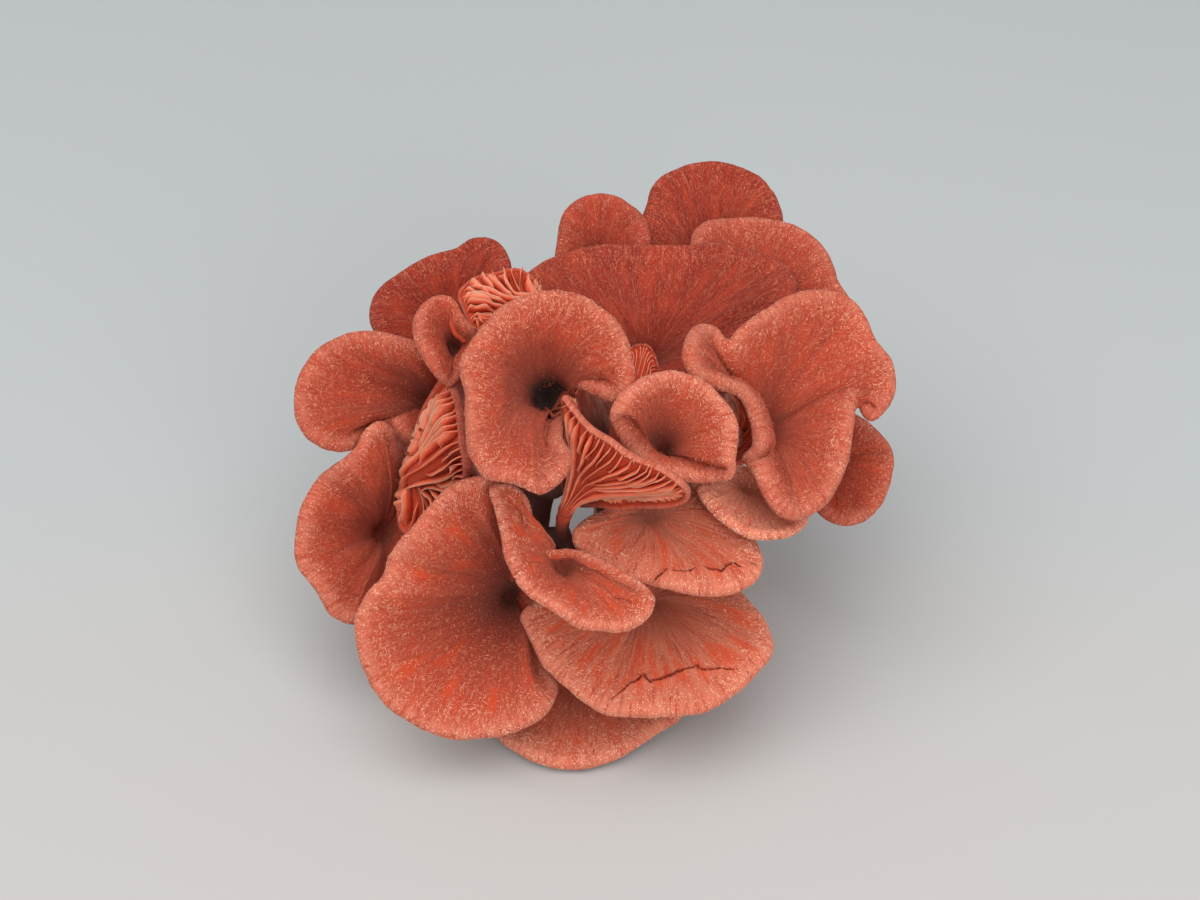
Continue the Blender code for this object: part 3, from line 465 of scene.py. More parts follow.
            (-24, -58, -1), (-27.5, -66),
        ),
    },
    "cap_left_lower": {
        "lie": (7.0, 0.10, -0.10), "throat": (-55.0, -21.0, 22.0), "axis": (0.45, 0.2, 0.9),
        "foot": (-14.0, -4.0), "stalk": (0.6, 0.4, -0.7), "brim": 10.0, "reach": 8.0,
        "crest": (
            (-50.4, 2, -2), (-51, 5, 2), (-54, 7.4, 5), (-57.4, 5.4, 6), (-60.5, 0.5, 6), (-66, -3.8, 3),
            (-70.5, -8), (-73.8, -14.8), (-75, -23), (-74.2, -29), (-70, -34.5), (-66, -40.5),
            (-60.5, -43), (-54, -40, -7), (-48, -34, -15), (-44, -25, -19), (-43.5, -14, -19),
            (-46, -4, -13),
        ),
    },
    "cap_left_upper": {
        "lie": (13.6, 0.10, -0.35), "throat": (-43.5, 11.5, 18.0), "axis": (0.25, 0.3, 0.95),
        "foot": (-17.0, 4.0), "brim": 12.0, "reach": 8.0,
        "crest": (
            (-44.5, 26.5, -3), (-50.5, 29, -1), (-60, 30), (-67, 27.5), (-72.3, 23), (-75.3, 17),
            (-75.5, 10), (-73, 4.5), (-67.5, 1.3, -3), (-62.5, 0.9, -6), (-59.2, 3, -9),
            (-56.5, 6.8, -11), (-52, 7, -12), (-47.5, 2.5, -14), (-42.5, 0, -18), (-38, 6, -19),
            (-37, 13, -18), (-39, 21, -11),
        ),
    },
    "cap_top_left": {
        "lie": (-2.0, 0.05, -0.55), "throat": (-36.0, 30.0, 12.0), "axis": (0.1, 0.55, 1.0),
        "foot": (-15.0, 8.0), "brim": 14.0, "reach": 7.0,
        "crest": (
            (-56.3, 32), (-56.8, 36), (-55, 41), (-50, 45.2), (-43, 49), (-36, 51), (-32, 53.3, 1),
            (-27, 53.3, 1), (-24, 51), (-22, 46, -1), (-21.5, 40, -3), (-25, 32, -6), (-33, 26, -8),
            (-43, 24, -6), (-52, 27, -2),
        ),
    },
    "cap_small_ear": {
        "lie": (22.0, -0.10, -0.35), "throat": (-36.5, 25.0, 9.0), "axis": (0.3, 0.4, 0.9),
        "foot": (-16.0, 3.0), "stalk": (0.5, 0.3, -0.8), "brim": 10.0, "reach": 4.5, "lip": 1.8,
        "crest": (
            (-45.8, 33), (-44.3, 36.5), (-40.3, 39), (-36.5, 38), (-33.5, 33.5), (-31, 30, -1),
            (-31.5, 26, -4), (-34, 21.5, -5), (-36.5, 17, -4), (-40.5, 19, -2), (-44, 25, -1),
            (-45.8, 29),
        ),
    },
    "cap_ruffled_gills": {
        "lie": (11.0, 0.0, 0.0), "throat": (-18.5, 34.5, -4.5), "axis": (-0.2, -0.5, -0.83),
        "foot": (5.0, 4.0), "stalk": (0.5, -0.15, -0.85), "neck": 6.0, "brim": 6.0, "reach": 4.0,
        "lip": 0.9, "gill_depth": 1.4,
        "crest": (
            (-35.5, 38.5), (-34, 33.5, 4), (-30.5, 29.5, 6), (-25.5, 31.5, 6), (-18, 28, 3),
            (-13, 33, -1), (-15, 40, -4), (-20.5, 44.5, -5), (-27, 43.5, -5), (-32, 42, -3),
        ),
    },
    "cap_left_gills": {
        "lie": (9.0, 0.0, 0.0), "throat": (-46.0, -5.5, -1.0), "axis": (0.88, -0.05, -0.47),
        "foot": (-16.0, -2.0), "stalk": (0.5, 0.45, -0.75), "neck_radius": 3.8, "brim": 4.0,
        "reach": 6.0, "lip": 2.0, "gill_depth": 1.4,
        "crest": (
            (-36, 18, 4), (-33.6, 12, 13), (-32.2, 3, 18), (-31, -5, 15), (-32, -11.5, 9),
            (-36, -18.5, 4), (-42, -23, -2), (-47.5, -19, -6), (-47.5, -7, -9), (-45, 0, -8),
            (-43, 8, -4), (-39.5, 14.5),
        ),
    },
}

# What each cap wears besides, and where its skin differs from its solid.
#   redness_and_shade  redder and darker than its neighbours, fairer where it is below zero;
#                   partly the cap's own tone and partly painted shade and painted light
#                   for how the cap is lit
#   throat_shade    painted shade in the throat, with a near-black painted shadow where
#                   it is strongest, out to throat_shade_reach of the way
#   patchy          how much of the skin is worn bare and orange-red
#   wrinkle         how deep the fine wrinkles are
#   fuzz            how much fuzz, with its length, where it thickens (fuzz_from)
#                   and how it tangles
#   bare_under      how much the flesh between the gills takes their colour
#   throat, throat_radius, steepness, soften
#                   the hollow, where it isn't the solid's, and how far its folds
#                   are evened out
#   notch           right, up, reach and drop of a dip in the margin
#   gills, no_gills whether there are blades, and a round place without them
#   gill_...        spacing, extra depth, wave, wavelength, steps and thickness
#   cracks          lines of right, up and width
# DRIED is what the two dried fans share.
DRIED = {
    "redness_and_shade": -0.65, "throat_shade": 0.0, "fuzz": 0.65, "fuzz_length": 0.9, "wrinkle": 1.8, "patchy": 0.8,
}
DRESS = {
    "cap_front_ear": {
        "redness_and_shade": 0.3, "throat_shade": 1.0, "throat_shade_reach": 0.2, "bare_under": 0.4, "fuzz_length": 1.2,
        "fuzz_from": (0.4, 0.75), "tangle": 1.8, "throat": (-12.3, 12.2, 26.0), "throat_radius": 3.4,
        "steepness": 0.95, "notch": (-9.0, 12.5, 6.0, 12.0), "soften": 0.035, "gill_depth": 0.9,
        "no_gills": (-11.5, 7.0, 10.0),
    },
    "cap_top_fan": {"redness_and_shade": 1.0, "throat_shade": 0.35, "fuzz": 0.75},
    "cap_top_dome": {"redness_and_shade": 1.0, "fuzz": 0.8},
    "cap_small_dome": {"redness_and_shade": 0.8, "fuzz": 0.8},
    "cap_back_right": {"redness_and_shade": 0.5},
    "cap_right_funnel": {"redness_and_shade": 0.2, "throat_shade": 0.0, "wrinkle": 1.5},
    "cap_right_back": {"redness_and_shade": 0.45},
    "cap_small_funnel": {"redness_and_shade": 0.0, "throat_shade": 0.45, "throat_shade_reach": 0.5},
    "cap_centre_gills": {
        "redness_and_shade": 0.1, "gill_spacing": 1.9, "gill_extra": 0.6, "gill_wave": 0.7, "gill_thick": 1.3,
    },
    "cap_between": {"gill_spacing": 1.2},
    "cap_small_strap": {"redness_and_shade": -1.0, "throat_shade": 0.0},
    "cap_middle_fan": {
        **DRIED,
        "cracks": (
            ((13.2, -33.0, 0.15), (14.2, -31.8, 0.4), (15.5, -30.5, 0.45), (16.8, -29.8, 0.3)),
            ((18.0, -29.8, 0.25), (21.0, -30.1, 0.45), (23.8, -29.8, 0.25)),
            ((25.5, -29.0, 0.25), (28.0, -29.8, 0.5), (30.5, -30.0, 0.55), (31.5, -29.0, 0.55),
             (32.8, -28.0, 0.45), (35.2, -29.2, 0.2)),
            ((36.8, -28.6, 0.2), (38.0, -28.2, 0.32), (39.2, -29.0, 0.15)),
        ),
    },
    "cap_lower_fan": {
        **DRIED,
        "cracks": (
            ((3.0, -62.5, 0.15), (7.5, -58.2, 0.38), (11.0, -56.2, 0.5), (12.5, -57.8, 0.45),
             (15.8, -56.8, 0.55), (20.0, -55.0, 0.6), (24.2, -53.8, 0.5), (25.0, -54.8, 0.4),
             (30.5, -54.5, 0.45), (34.5, -55.0, 0.15)),
        ),
    },
    "cap_front_curl": {
        "redness_and_shade": -0.1, "throat_shade": 0.0, "patchy": 0.9, "gills": False, "throat": (-9.5, -30.0, 13.0),
        "bare_under": 0.0,
        "cracks": (((3.8, -37.0, 0.1), (5.8, -37.4, 0.3), (8.0, -38.2, 0.12)),),
    },
    "cap_left_funnel": {
        "redness_and_shade": 0.05, "throat_shade": 0.66, "throat_shade_reach": 0.9, "throat": (-22.5, -36.5, 29.0),
        "patchy": 0.9, "no_gills": (-22.0, -34.0, 9.0),
    },
    "cap_bottom": {"redness_and_shade": -0.4, "throat_shade": 0.2},
    "cap_left_lower": {
        "redness_and_shade": 0.2, "throat_shade": 0.0, "gill_depth": 0.8, "fuzz_from": (0.75, 0.95),
        "no_gills": (-53.0, -1.0, 7.0),
    },
    "cap_left_upper": {"throat_shade": 0.55, "throat_shade_reach": 0.75, "gill_depth": 0.8},
    "cap_top_left": {"redness_and_shade": 1.0, "throat_shade": 0.5, "fuzz": 0.6},
    "cap_small_ear": {"throat_shade": 0.66, "gills": False},
    "cap_ruffled_gills": {
        "redness_and_shade": 0.2, "gill_spacing": 1.9, "gill_extra": 1.6, "gill_wave": 0.9, "gill_wavelength": 3.2,
        "gill_steps": 22, "gill_thick": 0.9,
    },
    "cap_left_gills": {
        "redness_and_shade": 0.5, "gill_spacing": 2.5, "gill_extra": 2.2, "gill_wave": 0.3, "gill_thick": 1.3,
        "gill_steps": 18,
    },
}

# What holds for every mushroom whose own entries don't say otherwise.
USUAL = {
    "lip": 2.0, "throat_radius": THROAT_RADIUS, "steepness": 0.75, "soften": 0.0,
    "neck": 8.0, "lean": 0.45, "neck_radius": 4.2, "redness_and_shade": 0.4, "throat_shade": 0.75, "throat_shade_reach": 0.3,
    "patchy": 0.35, "wrinkle": 1.0, "bare_under": 1.0, "fuzz": 1.0, "fuzz_length": 1.1,
    "fuzz_from": (0.6, 0.92), "tangle": 1.7, "gills": True, "gill_depth": 1.0, "gill_spacing": 1.5,
    "gill_extra": 0.0, "gill_wave": 0.22, "gill_wavelength": 5.0, "gill_steps": 11, "gill_thick": 1.0,
    "cracks": (),
}

# Knobs and young stems without caps, between two places as seen (right, up,
# nearness), with their radius.
KNOBS = (
    ((-30.0, -8.0, -16.0), (-52.0, 6.0, -12.0), 6.0),
    ((-24.0, -10.0, -8.0), (-33.5, -4.0, 6.0), 4.0),
    ((-17.5, -8.5, 0.0), (-9.0, -9.8, 2.0), 3.4),
    ((-17.0, -23.0, -8.0), (-7.0, -21.5, -6.0), 3.2),
    ((20.0, -6.0, -6.0), (36.0, 8.5, 0.0), 5.5),
    ((24.0, 4.0, -4.0), (36.0, 15.0, -2.0), 4.5),
)

# Colours, as linear red, green and blue.
# The skin from throat to margin: darker towards the throat as painted shade in the hollow, paler at the
# margin.
SKIN_BY_DEPTH = (
    (0.0, (0.34, 0.058, 0.032)), (0.25, (0.44, 0.072, 0.038)), (0.55, (0.45, 0.066, 0.033)),
    (0.82, (0.47, 0.070, 0.036)), (0.95, (0.54, 0.105, 0.058)), (1.0, (0.62, 0.17, 0.105)),
)
PALE_COLOUR = (0.80, 0.34, 0.22)
UNDER_COLOUR = (0.60, 0.070, 0.026)
HEART_SHADE_COLOUR = (0.085, 0.023, 0.016)
# The blades from root to edge: darker towards the roots as painted shade between the blades.
GILL_BY_EDGE = (
    (0.0, (0.46, 0.040, 0.014)), (0.5, (0.70, 0.105, 0.042)), (0.9, (0.80, 0.18, 0.085)),
    (1.0, (0.92, 0.44, 0.30)),
)
FUZZ_BY_PALENESS = (
    (0.0, (0.34, 0.042, 0.018)), (0.3, (0.58, 0.112, 0.050)), (0.6, (0.78, 0.28, 0.16)),
    (1.0, (0.95, 0.64, 0.48)),
)
STEM_BY_STREAK = ((0.35, (0.36, 0.105, 0.070)), (0.55, (0.58, 0.225, 0.160)), (0.7, (0.72, 0.40, 0.31)))

# The sheet (its depths and half its width in metres) and the daylight.
FLOOR_BY_DEPTH = ((0.0, (0.48, 0.465, 0.460)), (1.0, (0.445, 0.470, 0.478)))
FLOOR_DEPTHS = (-0.06, 0.06)
FLOOR_HALF = 2.5
FLOOR_CORNERS = ((-1, -1), (1, -1), (1, 1), (-1, 1))
WORLD_COLOUR = (0.98, 0.99, 1.0)
WORLD_STRENGTH = 0.47

# Noises: stretch, scale, detail and roughness.
SKIN_NOISES = {
    "streaks": ((1.0, 1.0, 0.16), 1.1, 5.0, 0.65), "grain": ((1.0, 1.0, 0.75), 2.2, 4.0, 0.75),
    "flush": ((1.0, 1.0, 0.5), 0.14, 3.0, 0.55),
}
GILL_MOTTLE = ((1.0, 1.0, 1.0), 420.0, 3.0, 0.55)
STEM_STREAKS = ((1.0, 1.0, 0.12), 900.0, 5.0, 0.6)
STEM_BLOTCHES = ((1.0, 1.0, 1.0), 90.0, 4.0, 0.55)

# Sockets of the node that mixes colours: share, first and second, and result.
MIX_SHARE = 0
MIX_FIRST = 6
MIX_SECOND = 7
MIX_RESULT = 2

# Colours laid over each other: what they follow, where they begin and are
# full, how strong they are, and the colour.  The redness_and_shade layers are
# partly painted shade and painted light on whole caps, the throat_shade layers
# are painted shade and a near-black painted shadow in the hollows, and the
# heart_shade layers are painted shade in the middle of the cluster.
SKIN_LAYERS = (
    ("redness_and_shade", 0.0, 1.0, 0.95, (0.22, 0.013, 0.006)), ("redness_and_shade", 0.0, -1.0, 0.8, (0.76, 0.25, 0.145)),
    ("streaks", 0.52, 0.30, 1.0, (0.42, 0.038, 0.015)),
    ("streaks", 0.54, 0.74, 0.7, (0.72, 0.19, 0.105)),
    ("flush", 0.48, 0.72, 0.4, (0.62, 0.070, 0.026)), ("grain", 0.56, 0.74, 0.6, PALE_COLOUR),
    ("patch", 0.0, 1.0, 0.85, (0.66, 0.070, 0.018)), ("throat_shade", 0.0, 0.7, 1.0, (0.16, 0.018, 0.009)),
    ("throat_shade", 0.62, 0.85, 1.0, (0.010, 0.002, 0.002)), ("crack", 0.0, 1.0, 1.0, (0.25, 0.022, 0.006)),
    ("underside", 0.0, 1.0, 1.0, UNDER_COLOUR), ("heart_shade", 0.0, 1.0, 1.0, HEART_SHADE_COLOUR),
)
GILL_LAYERS = (("mottle", 0.4, 0.7, 0.35, PALE_COLOUR),)
STEM_LAYERS = (
    ("blotches", 0.4, 0.7, 0.5, (0.38, 0.105, 0.070)), ("neck", 0.0, 1.0, 1.0, UNDER_COLOUR),
    ("heart_shade", 0.0, 1.0, 1.0, HEART_SHADE_COLOUR),
)

# Bumps: strength and depth in metres.
SKIN_BUMP = (0.8, 0.0007)
GRAIN_IN_BUMP = 0.8
GILL_BUMP = (0.25, 0.0002)
STEM_BUMP = (0.7, 0.0006)
BLOTCH_IN_BUMP = 0.5

# Shader settings.
SKIN_FINISH = {
    "Roughness": 0.8, "Specular IOR Level": 0.25, "Subsurface Weight": 0.15,
    "Subsurface Radius": (1.0, 0.3, 0.15), "Subsurface Scale": 0.0012, "Sheen Weight": 0.13,
    "Sheen Roughness": 0.4, "Sheen Tint": (1.0, 0.60, 0.48, 1.0),
}
GILL_FINISH = {
    "Roughness": 0.55, "Subsurface Weight": 0.35, "Subsurface Radius": (1.0, 0.35, 0.2),
    "Subsurface Scale": 0.0012,
}
FUZZ_FINISH = {"Roughness": 0.6, "Specular IOR Level": 0.35}
STEM_FINISH = {
    "Roughness": 0.7, "Subsurface Weight": 0.3, "Subsurface Radius": (1.0, 0.4, 0.25),
    "Subsurface Scale": 0.002,
}
FLOOR_FINISH = {"Roughness": 0.9}

# The stems take the flesh's colour near a neck.  Painted shade darkens them in the
# heart of the cluster, and the caps too where they are near their own necks.
NECK_TINT = (15.0, 2.0)
HEART_SHADE_CENTRE = np.array((-5.0, -8.0, 46.0))
HEART_SHADE_REACH = (27.0, 14.0)
NECK_SHADE_REACH = (17.0, 9.0)

# Lamps: name, place in metres, size, watts and colour.
LIGHTS = (
    ("key", (-0.25, -0.45, 1.40), 2.2, 25.0, (1.0, 0.985, 0.96)),
    ("fill", (0.45, -1.20, 0.60), 0.90, 8.0, (1.0, 0.98, 0.96)),
)

# Each cap's random draws start from a number of its own, with others for its
# gills and its fuzz.
FIRST_SEED = 100
SEED_STEP = 20
GILL_SEED = 7
FUZZ_SEED = 11


def seen(x, y, toward):
    """The point in space that is seen x right and y up, at that nearness."""
    shrink = 1.0 - toward / VIEW_DISTANCE
    return MIDDLE + RIGHT * (x * shrink) + UP * (y * shrink) + TOWARD * toward


def view_place(points):
    """Where points in space are seen: millimetres right and up in the view."""
    rel = points - MIDDLE
    shrink = 1.0 - rel @ TOWARD / VIEW_DISTANCE
    return rel @ RIGHT / shrink, rel @ UP / shrink


def heading(x, y, toward):
    """A direction given in the same view."""
    return unit(RIGHT * x + UP * y + TOWARD * toward)


def unit(vectors):
    """Vectors of length one."""
    length = np.linalg.norm(vectors, axis=-1, keepdims=True)
    return vectors / np.maximum(length, SHORTEST)


def smoothstep(low, high, value):
    """A soft step from 0 at one value to 1 at the other."""
    t = np.clip((value - low) / (high - low), 0.0, 1.0)
    return t * t * (3.0 - 2.0 * t)


def hashed(x, y, z, seed):
    """A steady pseudo-random number from -1 to 1 for each lattice corner."""
    mixed = x * HASH_X ^ y * HASH_Y ^ z * HASH_Z ^ (seed * HASH_SEED)
    mixed = (mixed ^ (mixed >> 13)) * HASH_STIR & LOW_32_BITS
    mixed = (mixed ^ (mixed >> 16)) & LOW_24_BITS
    return mixed / HALF_RANGE - 1.0


def value_noise(points, size, seed):
    """Smooth noise between -1 and 1 with features of about that size."""
    scaled = np.asarray(points) / size
    corner = np.floor(scaled).astype(np.int64)
    part = scaled - corner
    part = part * part * (3.0 - 2.0 * part)
    total = np.zeros(scaled.shape[:-1])
    for dx in (0, 1):
        weight_x = part[..., 0] if dx else 1.0 - part[..., 0]
        for dy in (0, 1):
            weight_y = part[..., 1] if dy else 1.0 - part[..., 1]
            for dz in (0, 1):
                weight_z = part[..., 2] if dz else 1.0 - part[..., 2]
                value = hashed(corner[..., 0] + dx, corner[..., 1] + dy, corner[..., 2] + dz, seed)
                total += value * weight_x * weight_y * weight_z
    return total


def smooth_round(values, reach):
    """A running mean round a closed row."""
    total = np.zeros_like(values)
    for shift in range(-reach, reach + 1):
        total += np.roll(values, shift, axis=0)
    return total / (2 * reach + 1)


def change_round(values, reach=1, axis=0):
    """The change between the neighbours on either side, in a closed row."""
    return np.roll(values, -reach, axis=axis) - np.roll(values, reach, axis=axis)


def angles_round(count):
    """Evenly spaced angles of one full turn."""
    return FULL_TURN * np.arange(count) / count


def swung(first, second, angle):
    """Directions at some angles from the first towards the second."""
    return np.cos(angle)[:, None] * first + np.sin(angle)[:, None] * second


def across_axis(vectors, axis):
    """The part of vectors that lies square to an axis."""
    return vectors - (vectors @ axis)[..., None] * axis


def curve_through(a, b, c, d, t):
    """A point between b and c on a smooth curve through four points."""
    point = 2 * b + (c - a) * t + (2 * a - 5 * b + 4 * c - d) * t**2
    return (point + (3 * b - a - 3 * c + d) * t**3) * 0.5


def curve_towards(a, b, c, d, t):
    """A point on a curve from a to d that leaves towards b and comes from c."""
    s = 1.0 - t
    return a * s**3 + b * (3 * s * s * t) + c * (3 * s * t * t) + d * t**3


def crest_curve(cap):
    """Finely spaced points on a smooth closed curve through the crest."""
    near, slope_x, slope_y = cap["lie"]
    throat_x, throat_y = cap["throat"][:2]
    marks = []
    for x, y, *before in cap["crest"]:
        toward = near + slope_x * (x - throat_x) + slope_y * (y - throat_y)
        marks.append(seen(x, y, toward + sum(before)))
    marks = np.array(marks)
    around = [np.roll(marks, shift, axis=0) for shift in (1, 0, -1, -2)]
    steps = [curve_through(*around, step / CREST_STEPS) for step in range(CREST_STEPS)]
    return np.stack(steps, axis=1).reshape(-1, 3)


def spaced_evenly(curve, columns):
    """Evenly spaced points on a closed curve, and its length."""
    closed = np.vstack([curve, curve[:1]])
    lengths = np.concatenate([[0.0], np.cumsum(np.linalg.norm(np.diff(closed, axis=0), axis=1))])
    wanted = lengths[-1] * np.arange(columns) / columns
    loop = np.stack([np.interp(wanted, lengths, closed[:, i]) for i in range(3)], axis=1)
    return loop, lengths[-1]


def throat_point(cap):
    """The middle of the throat, in space."""
    x, y, behind = cap["throat"]
    return seen(x, y, cap["lie"][0] - behind)


def stalk_direction(cap, axis):
    """The way the stem leaves the cap, straight down its axis or sideways."""
    if "stalk" in cap:
        return unit(np.array(cap["stalk"]))
    return -axis


def neck_end(cap):
    """Where the cap's own neck stops and the clump's stem takes over."""
    axis = heading(*cap["axis"])
    stalk = stalk_direction(cap, axis)
    way = unit(stalk - axis * cap["lean"])
    return throat_point(cap) + way * cap["neck"]


def spoke_directions(loop, throat, axis):
    """Directions round the throat that turn steadily as the crest goes round."""
    columns = len(loop)
    side = unit(across_axis(loop[0] - throat, axis))
    front = np.cross(axis, side)
    flat = across_axis(loop - throat, axis)
    angles = np.unwrap(np.arctan2(flat @ front, flat @ side))
    sense = 1.0 if angles[-1] > 0 else -1.0
    steady = sense * angles_round(columns)
    drift = np.mean(angles - steady)
    mixed = (1.0 - SPOKE_EVENNESS) * angles + SPOKE_EVENNESS * (steady + drift)
    return swung(side, front, mixed), sense


def lobe_widths(loop, outward):
    """How far the crest's other side lies straight in from each column."""
    columns = len(loop)
    across = loop[None, :, :] - loop[:, None, :]
    length = np.linalg.norm(across, axis=2)
    order = np.arange(columns)
    apart = np.abs(order[None, :] - order[:, None])
    apart = np.minimum(apart, columns - apart)
    facing = -np.einsum("ijk,ik->ij", across, outward) > OPPOSITE_COSINE * length
    facing &= apart >= columns * SAME_SIDE_SHARE
    return np.where(facing, length, WIDE_OPEN).min(axis=1)


def notched(loop, notch):
    """The crest with a dip pressed into it at one place."""
    x, y, reach, drop = notch
    right, up = view_place(loop)
    away = np.hypot(right - x, up - y)
    return loop - TOWARD * (drop * smoothstep(reach, 0.0, away))[:, None]


def cap_shape(cap, columns, seed):
    """Everything that the surfaces of one cap are drawn from, by column."""
    loop, perimeter = spaced_evenly(crest_curve(cap), columns)
    throat = throat_point(cap)
    axis = heading(*cap["axis"])
    spokes, sense = spoke_directions(loop, throat, axis)
    step = max(1, columns // TANGENT_DIVISIONS)
    along = change_round(loop, step)
    outward = unit(across_axis(np.cross(along, axis) * sense, axis))
    outward = unit(smooth_round(outward, max(1, columns // OUTWARD_DIVISIONS)))
    width = smooth_round(lobe_widths(loop, outward), max(1, columns // WIDTH_DIVISIONS))
    wave = MARGIN_WAVE * np.minimum(1.0, width / FULL_WAVE_WIDTH)
    ways = {"outward": outward, "axis": axis}
    for number, (way, size, share) in enumerate(MARGIN_WAVES):
        loop = loop + ways[way] * (share * wave * value_noise(loop, size, seed + number))[:, None]
    if "notch" in cap:
        loop = notched(loop, cap["notch"])
    brim = math.radians(cap["brim"])
    arrive = outward * math.cos(brim) + axis * math.sin(brim)
    upward = axis * math.cos(brim) - outward * math.sin(brim)
    span = np.linalg.norm(loop - throat, axis=1)
    fit = np.minimum(1.0, np.minimum(span / FULL_LIP_SPAN, width / FULL_LIP_WIDTH))
    lip = cap["lip"] * fit
    end = loop - arrive * lip[:, None]
    throat_radius = cap["throat_radius"]
    throat_share = THROAT_SHARE * throat_radius / THROAT_RADIUS
    start = throat + spokes * np.minimum(throat_radius, throat_share * span)[:, None]
    climb = np.maximum(0.0, (end - start) @ axis)
    rise = start + axis * (climb * cap["steepness"])[:, None]
    rise = rise + spokes * (RISE_SPREAD * span)[:, None]
    pull = np.minimum(cap["reach"], np.minimum(FLARE_SPAN_SHARE * span, FLARE_WIDTH_SHARE * width))
    flare = end - arrive * pull[:, None]
    return {
        "columns": columns, "perimeter": perimeter, "throat": throat, "axis": axis,
        "sense": sense, "spokes": spokes, "span": span, "start": start, "rise": rise,
        "flare": flare, "end": end, "arrive": arrive, "upward": upward, "lip": lip, "fit": fit,
    }


def top_row(shape, t):
    """The points of the top at one share of the way from throat to crest."""
    return curve_towards(shape["start"], shape["rise"], shape["flare"], shape["end"], t)


def top_normals(shape, t):
    """The way the top faces along one row."""
    inner = top_row(shape, max(t - FLOW_STEP, 0.0))
    outer = top_row(shape, min(t + FLOW_STEP, 1.0))
    return unit(np.cross(outer - inner, change_round(top_row(shape, t)))) * shape["sense"]


def steadied(normals, axis):
    """Normals turned the right way round where a sharp fold flips them."""
    flipped = normals @ axis < LEAST_FACING
    normals = np.where(flipped[:, None], -normals, normals)
    return unit(smooth_round(normals, ROUND_SMOOTHING))


def lip_row(shape, turn, inside):
    """A row on the rolled margin, outside it or inside the flesh."""
    radius = np.maximum(shape["lip"] - inside * shape["fit"], THINNEST_LIP)[:, None]
    centre = shape["end"] - shape["upward"] * shape["lip"][:, None]
    return centre + shape["upward"] * radius * math.cos(turn) + shape["arrive"] * radius * math.sin(turn)


def under_row(cap, shape, t, into):
    """A row of the underside, without its gills."""
    middle = top_row(shape, t)
    normals = steadied(top_normals(shape, t), shape["axis"])
    flesh = MARGIN_THICKNESS + (CENTRE_THICKNESS - MARGIN_THICKNESS) * (1.0 - t)
    depth = flesh + cap["gill_depth"]
    along = change_round(middle, ROUND_STEP)
    turn = change_round(normals, ROUND_STEP)
    squeeze = depth * (turn * along).sum(axis=1) / np.maximum((along**2).sum(axis=1), TINY)
    rooms = np.minimum(1.0, FULLEST_PINCH / np.maximum(squeeze, LEAST_SQUEEZE))
    rooms = smooth_round(rooms, ROUND_SMOOTHING)
    return middle - normals * ((flesh - into) * shape["fit"] * rooms)[:, None]


def turned(vectors, start, end):
    """Vectors turned by the rotation that takes one direction to another."""
    turn = Vector(start).rotation_difference(Vector(end)).to_matrix()
    return vectors @ np.array(turn).T


def neck_rows(cap, shape):
    """The neck: a ring under the throat, its end, and a little way into the stem."""
    axis = shape["axis"]
    stalk = stalk_direction(cap, axis)
    end = neck_end(cap)
    radius = cap["neck_radius"]
    middle = (shape["throat"] + end) * 0.5 - axis * NECK_SINK
    room = np.minimum(radius * NECK_WAIST, np.maximum(THROAT_RADIUS, NECK_ROOM * shape["span"]))
    upper = middle + turned(shape["spokes"], -axis, unit(stalk - axis)) * room[:, None]
    lower_spokes = turned(shape["spokes"], -axis, stalk) * radius
    lower = end + lower_spokes
    inside = end + stalk * NECK_INTO_STEM + lower_spokes * NECK_TAPER
    return [upper, lower, inside]


def blended_rows(rows):
    """More rows between some rows, on smooth curves through them."""
    dense = []
    ends = [rows[0]] + rows + [rows[-1]]
    for around in zip(ends, rows, rows[1:], ends[3:]):
        for step in range(NECK_BLEND):
            dense.append(curve_through(*around, step / NECK_BLEND))
    dense.append(rows[-1])
    return dense


def grid_normals(grid, sense):
    """Normals of a grid of rows that close on themselves."""
    return unit(np.cross(np.gradient(grid, axis=0), change_round(grid, axis=1))) * sense


def flow_coordinates(shape, depths):
    """Seamless coordinates in millimetres: two round the cap, one along it."""
    angle = angles_round(shape["columns"])
    radius = shape["perimeter"] / FULL_TURN
    flow = np.zeros((len(depths), shape["columns"], 3))
    flow[..., 0] = np.cos(angle)[None, :] * radius
    flow[..., 1] = np.sin(angle)[None, :] * radius
    flow[..., 2] = np.asarray(depths)[:, None] * np.median(shape["span"])
    return flow


def patches(flow, depth, amount):
    """Where the skin is worn bare and orange-red: long blotches part way out."""
    stretched = flow * PATCH_STRETCH
    value = sum(share * value_noise(stretched, size, seed) for share, size, seed in PATCH_NOISES)
    window = smoothstep(*PATCH_IN, depth) * (1.0 - smoothstep(*PATCH_OUT, depth))
    return amount * window * smoothstep(*PATCH_NOISE_RANGE, value)


def top_rows(cap, shape):
    """Rows from the throat over the top and round the lip, and their depths."""
    usual_span = np.percentile(shape["span"], USUAL_SPAN)
    soften = int(cap["soften"] * shape["columns"])
    rows = []
    depths = []
    for t in np.linspace(0.0, 1.0, int(np.clip(usual_span / ROW_CELL, *TOP_ROWS))):
        row = top_row(shape, t)
        share = smoothstep(*SOFTEN_IN, t) * smoothstep(*SOFTEN_OUT, t)
        rows.append(row + (smooth_round(row, soften) - row) * share)
        depths.append(t)
    for step in range(1, LIP_ROWS + 1):
        rows.append(lip_row(shape, LIP_TURN * step / LIP_ROWS, 0.0))
        depths.append(1.0 + LIP_DEPTH * step / LIP_ROWS)
    return np.array(rows), np.array(depths)


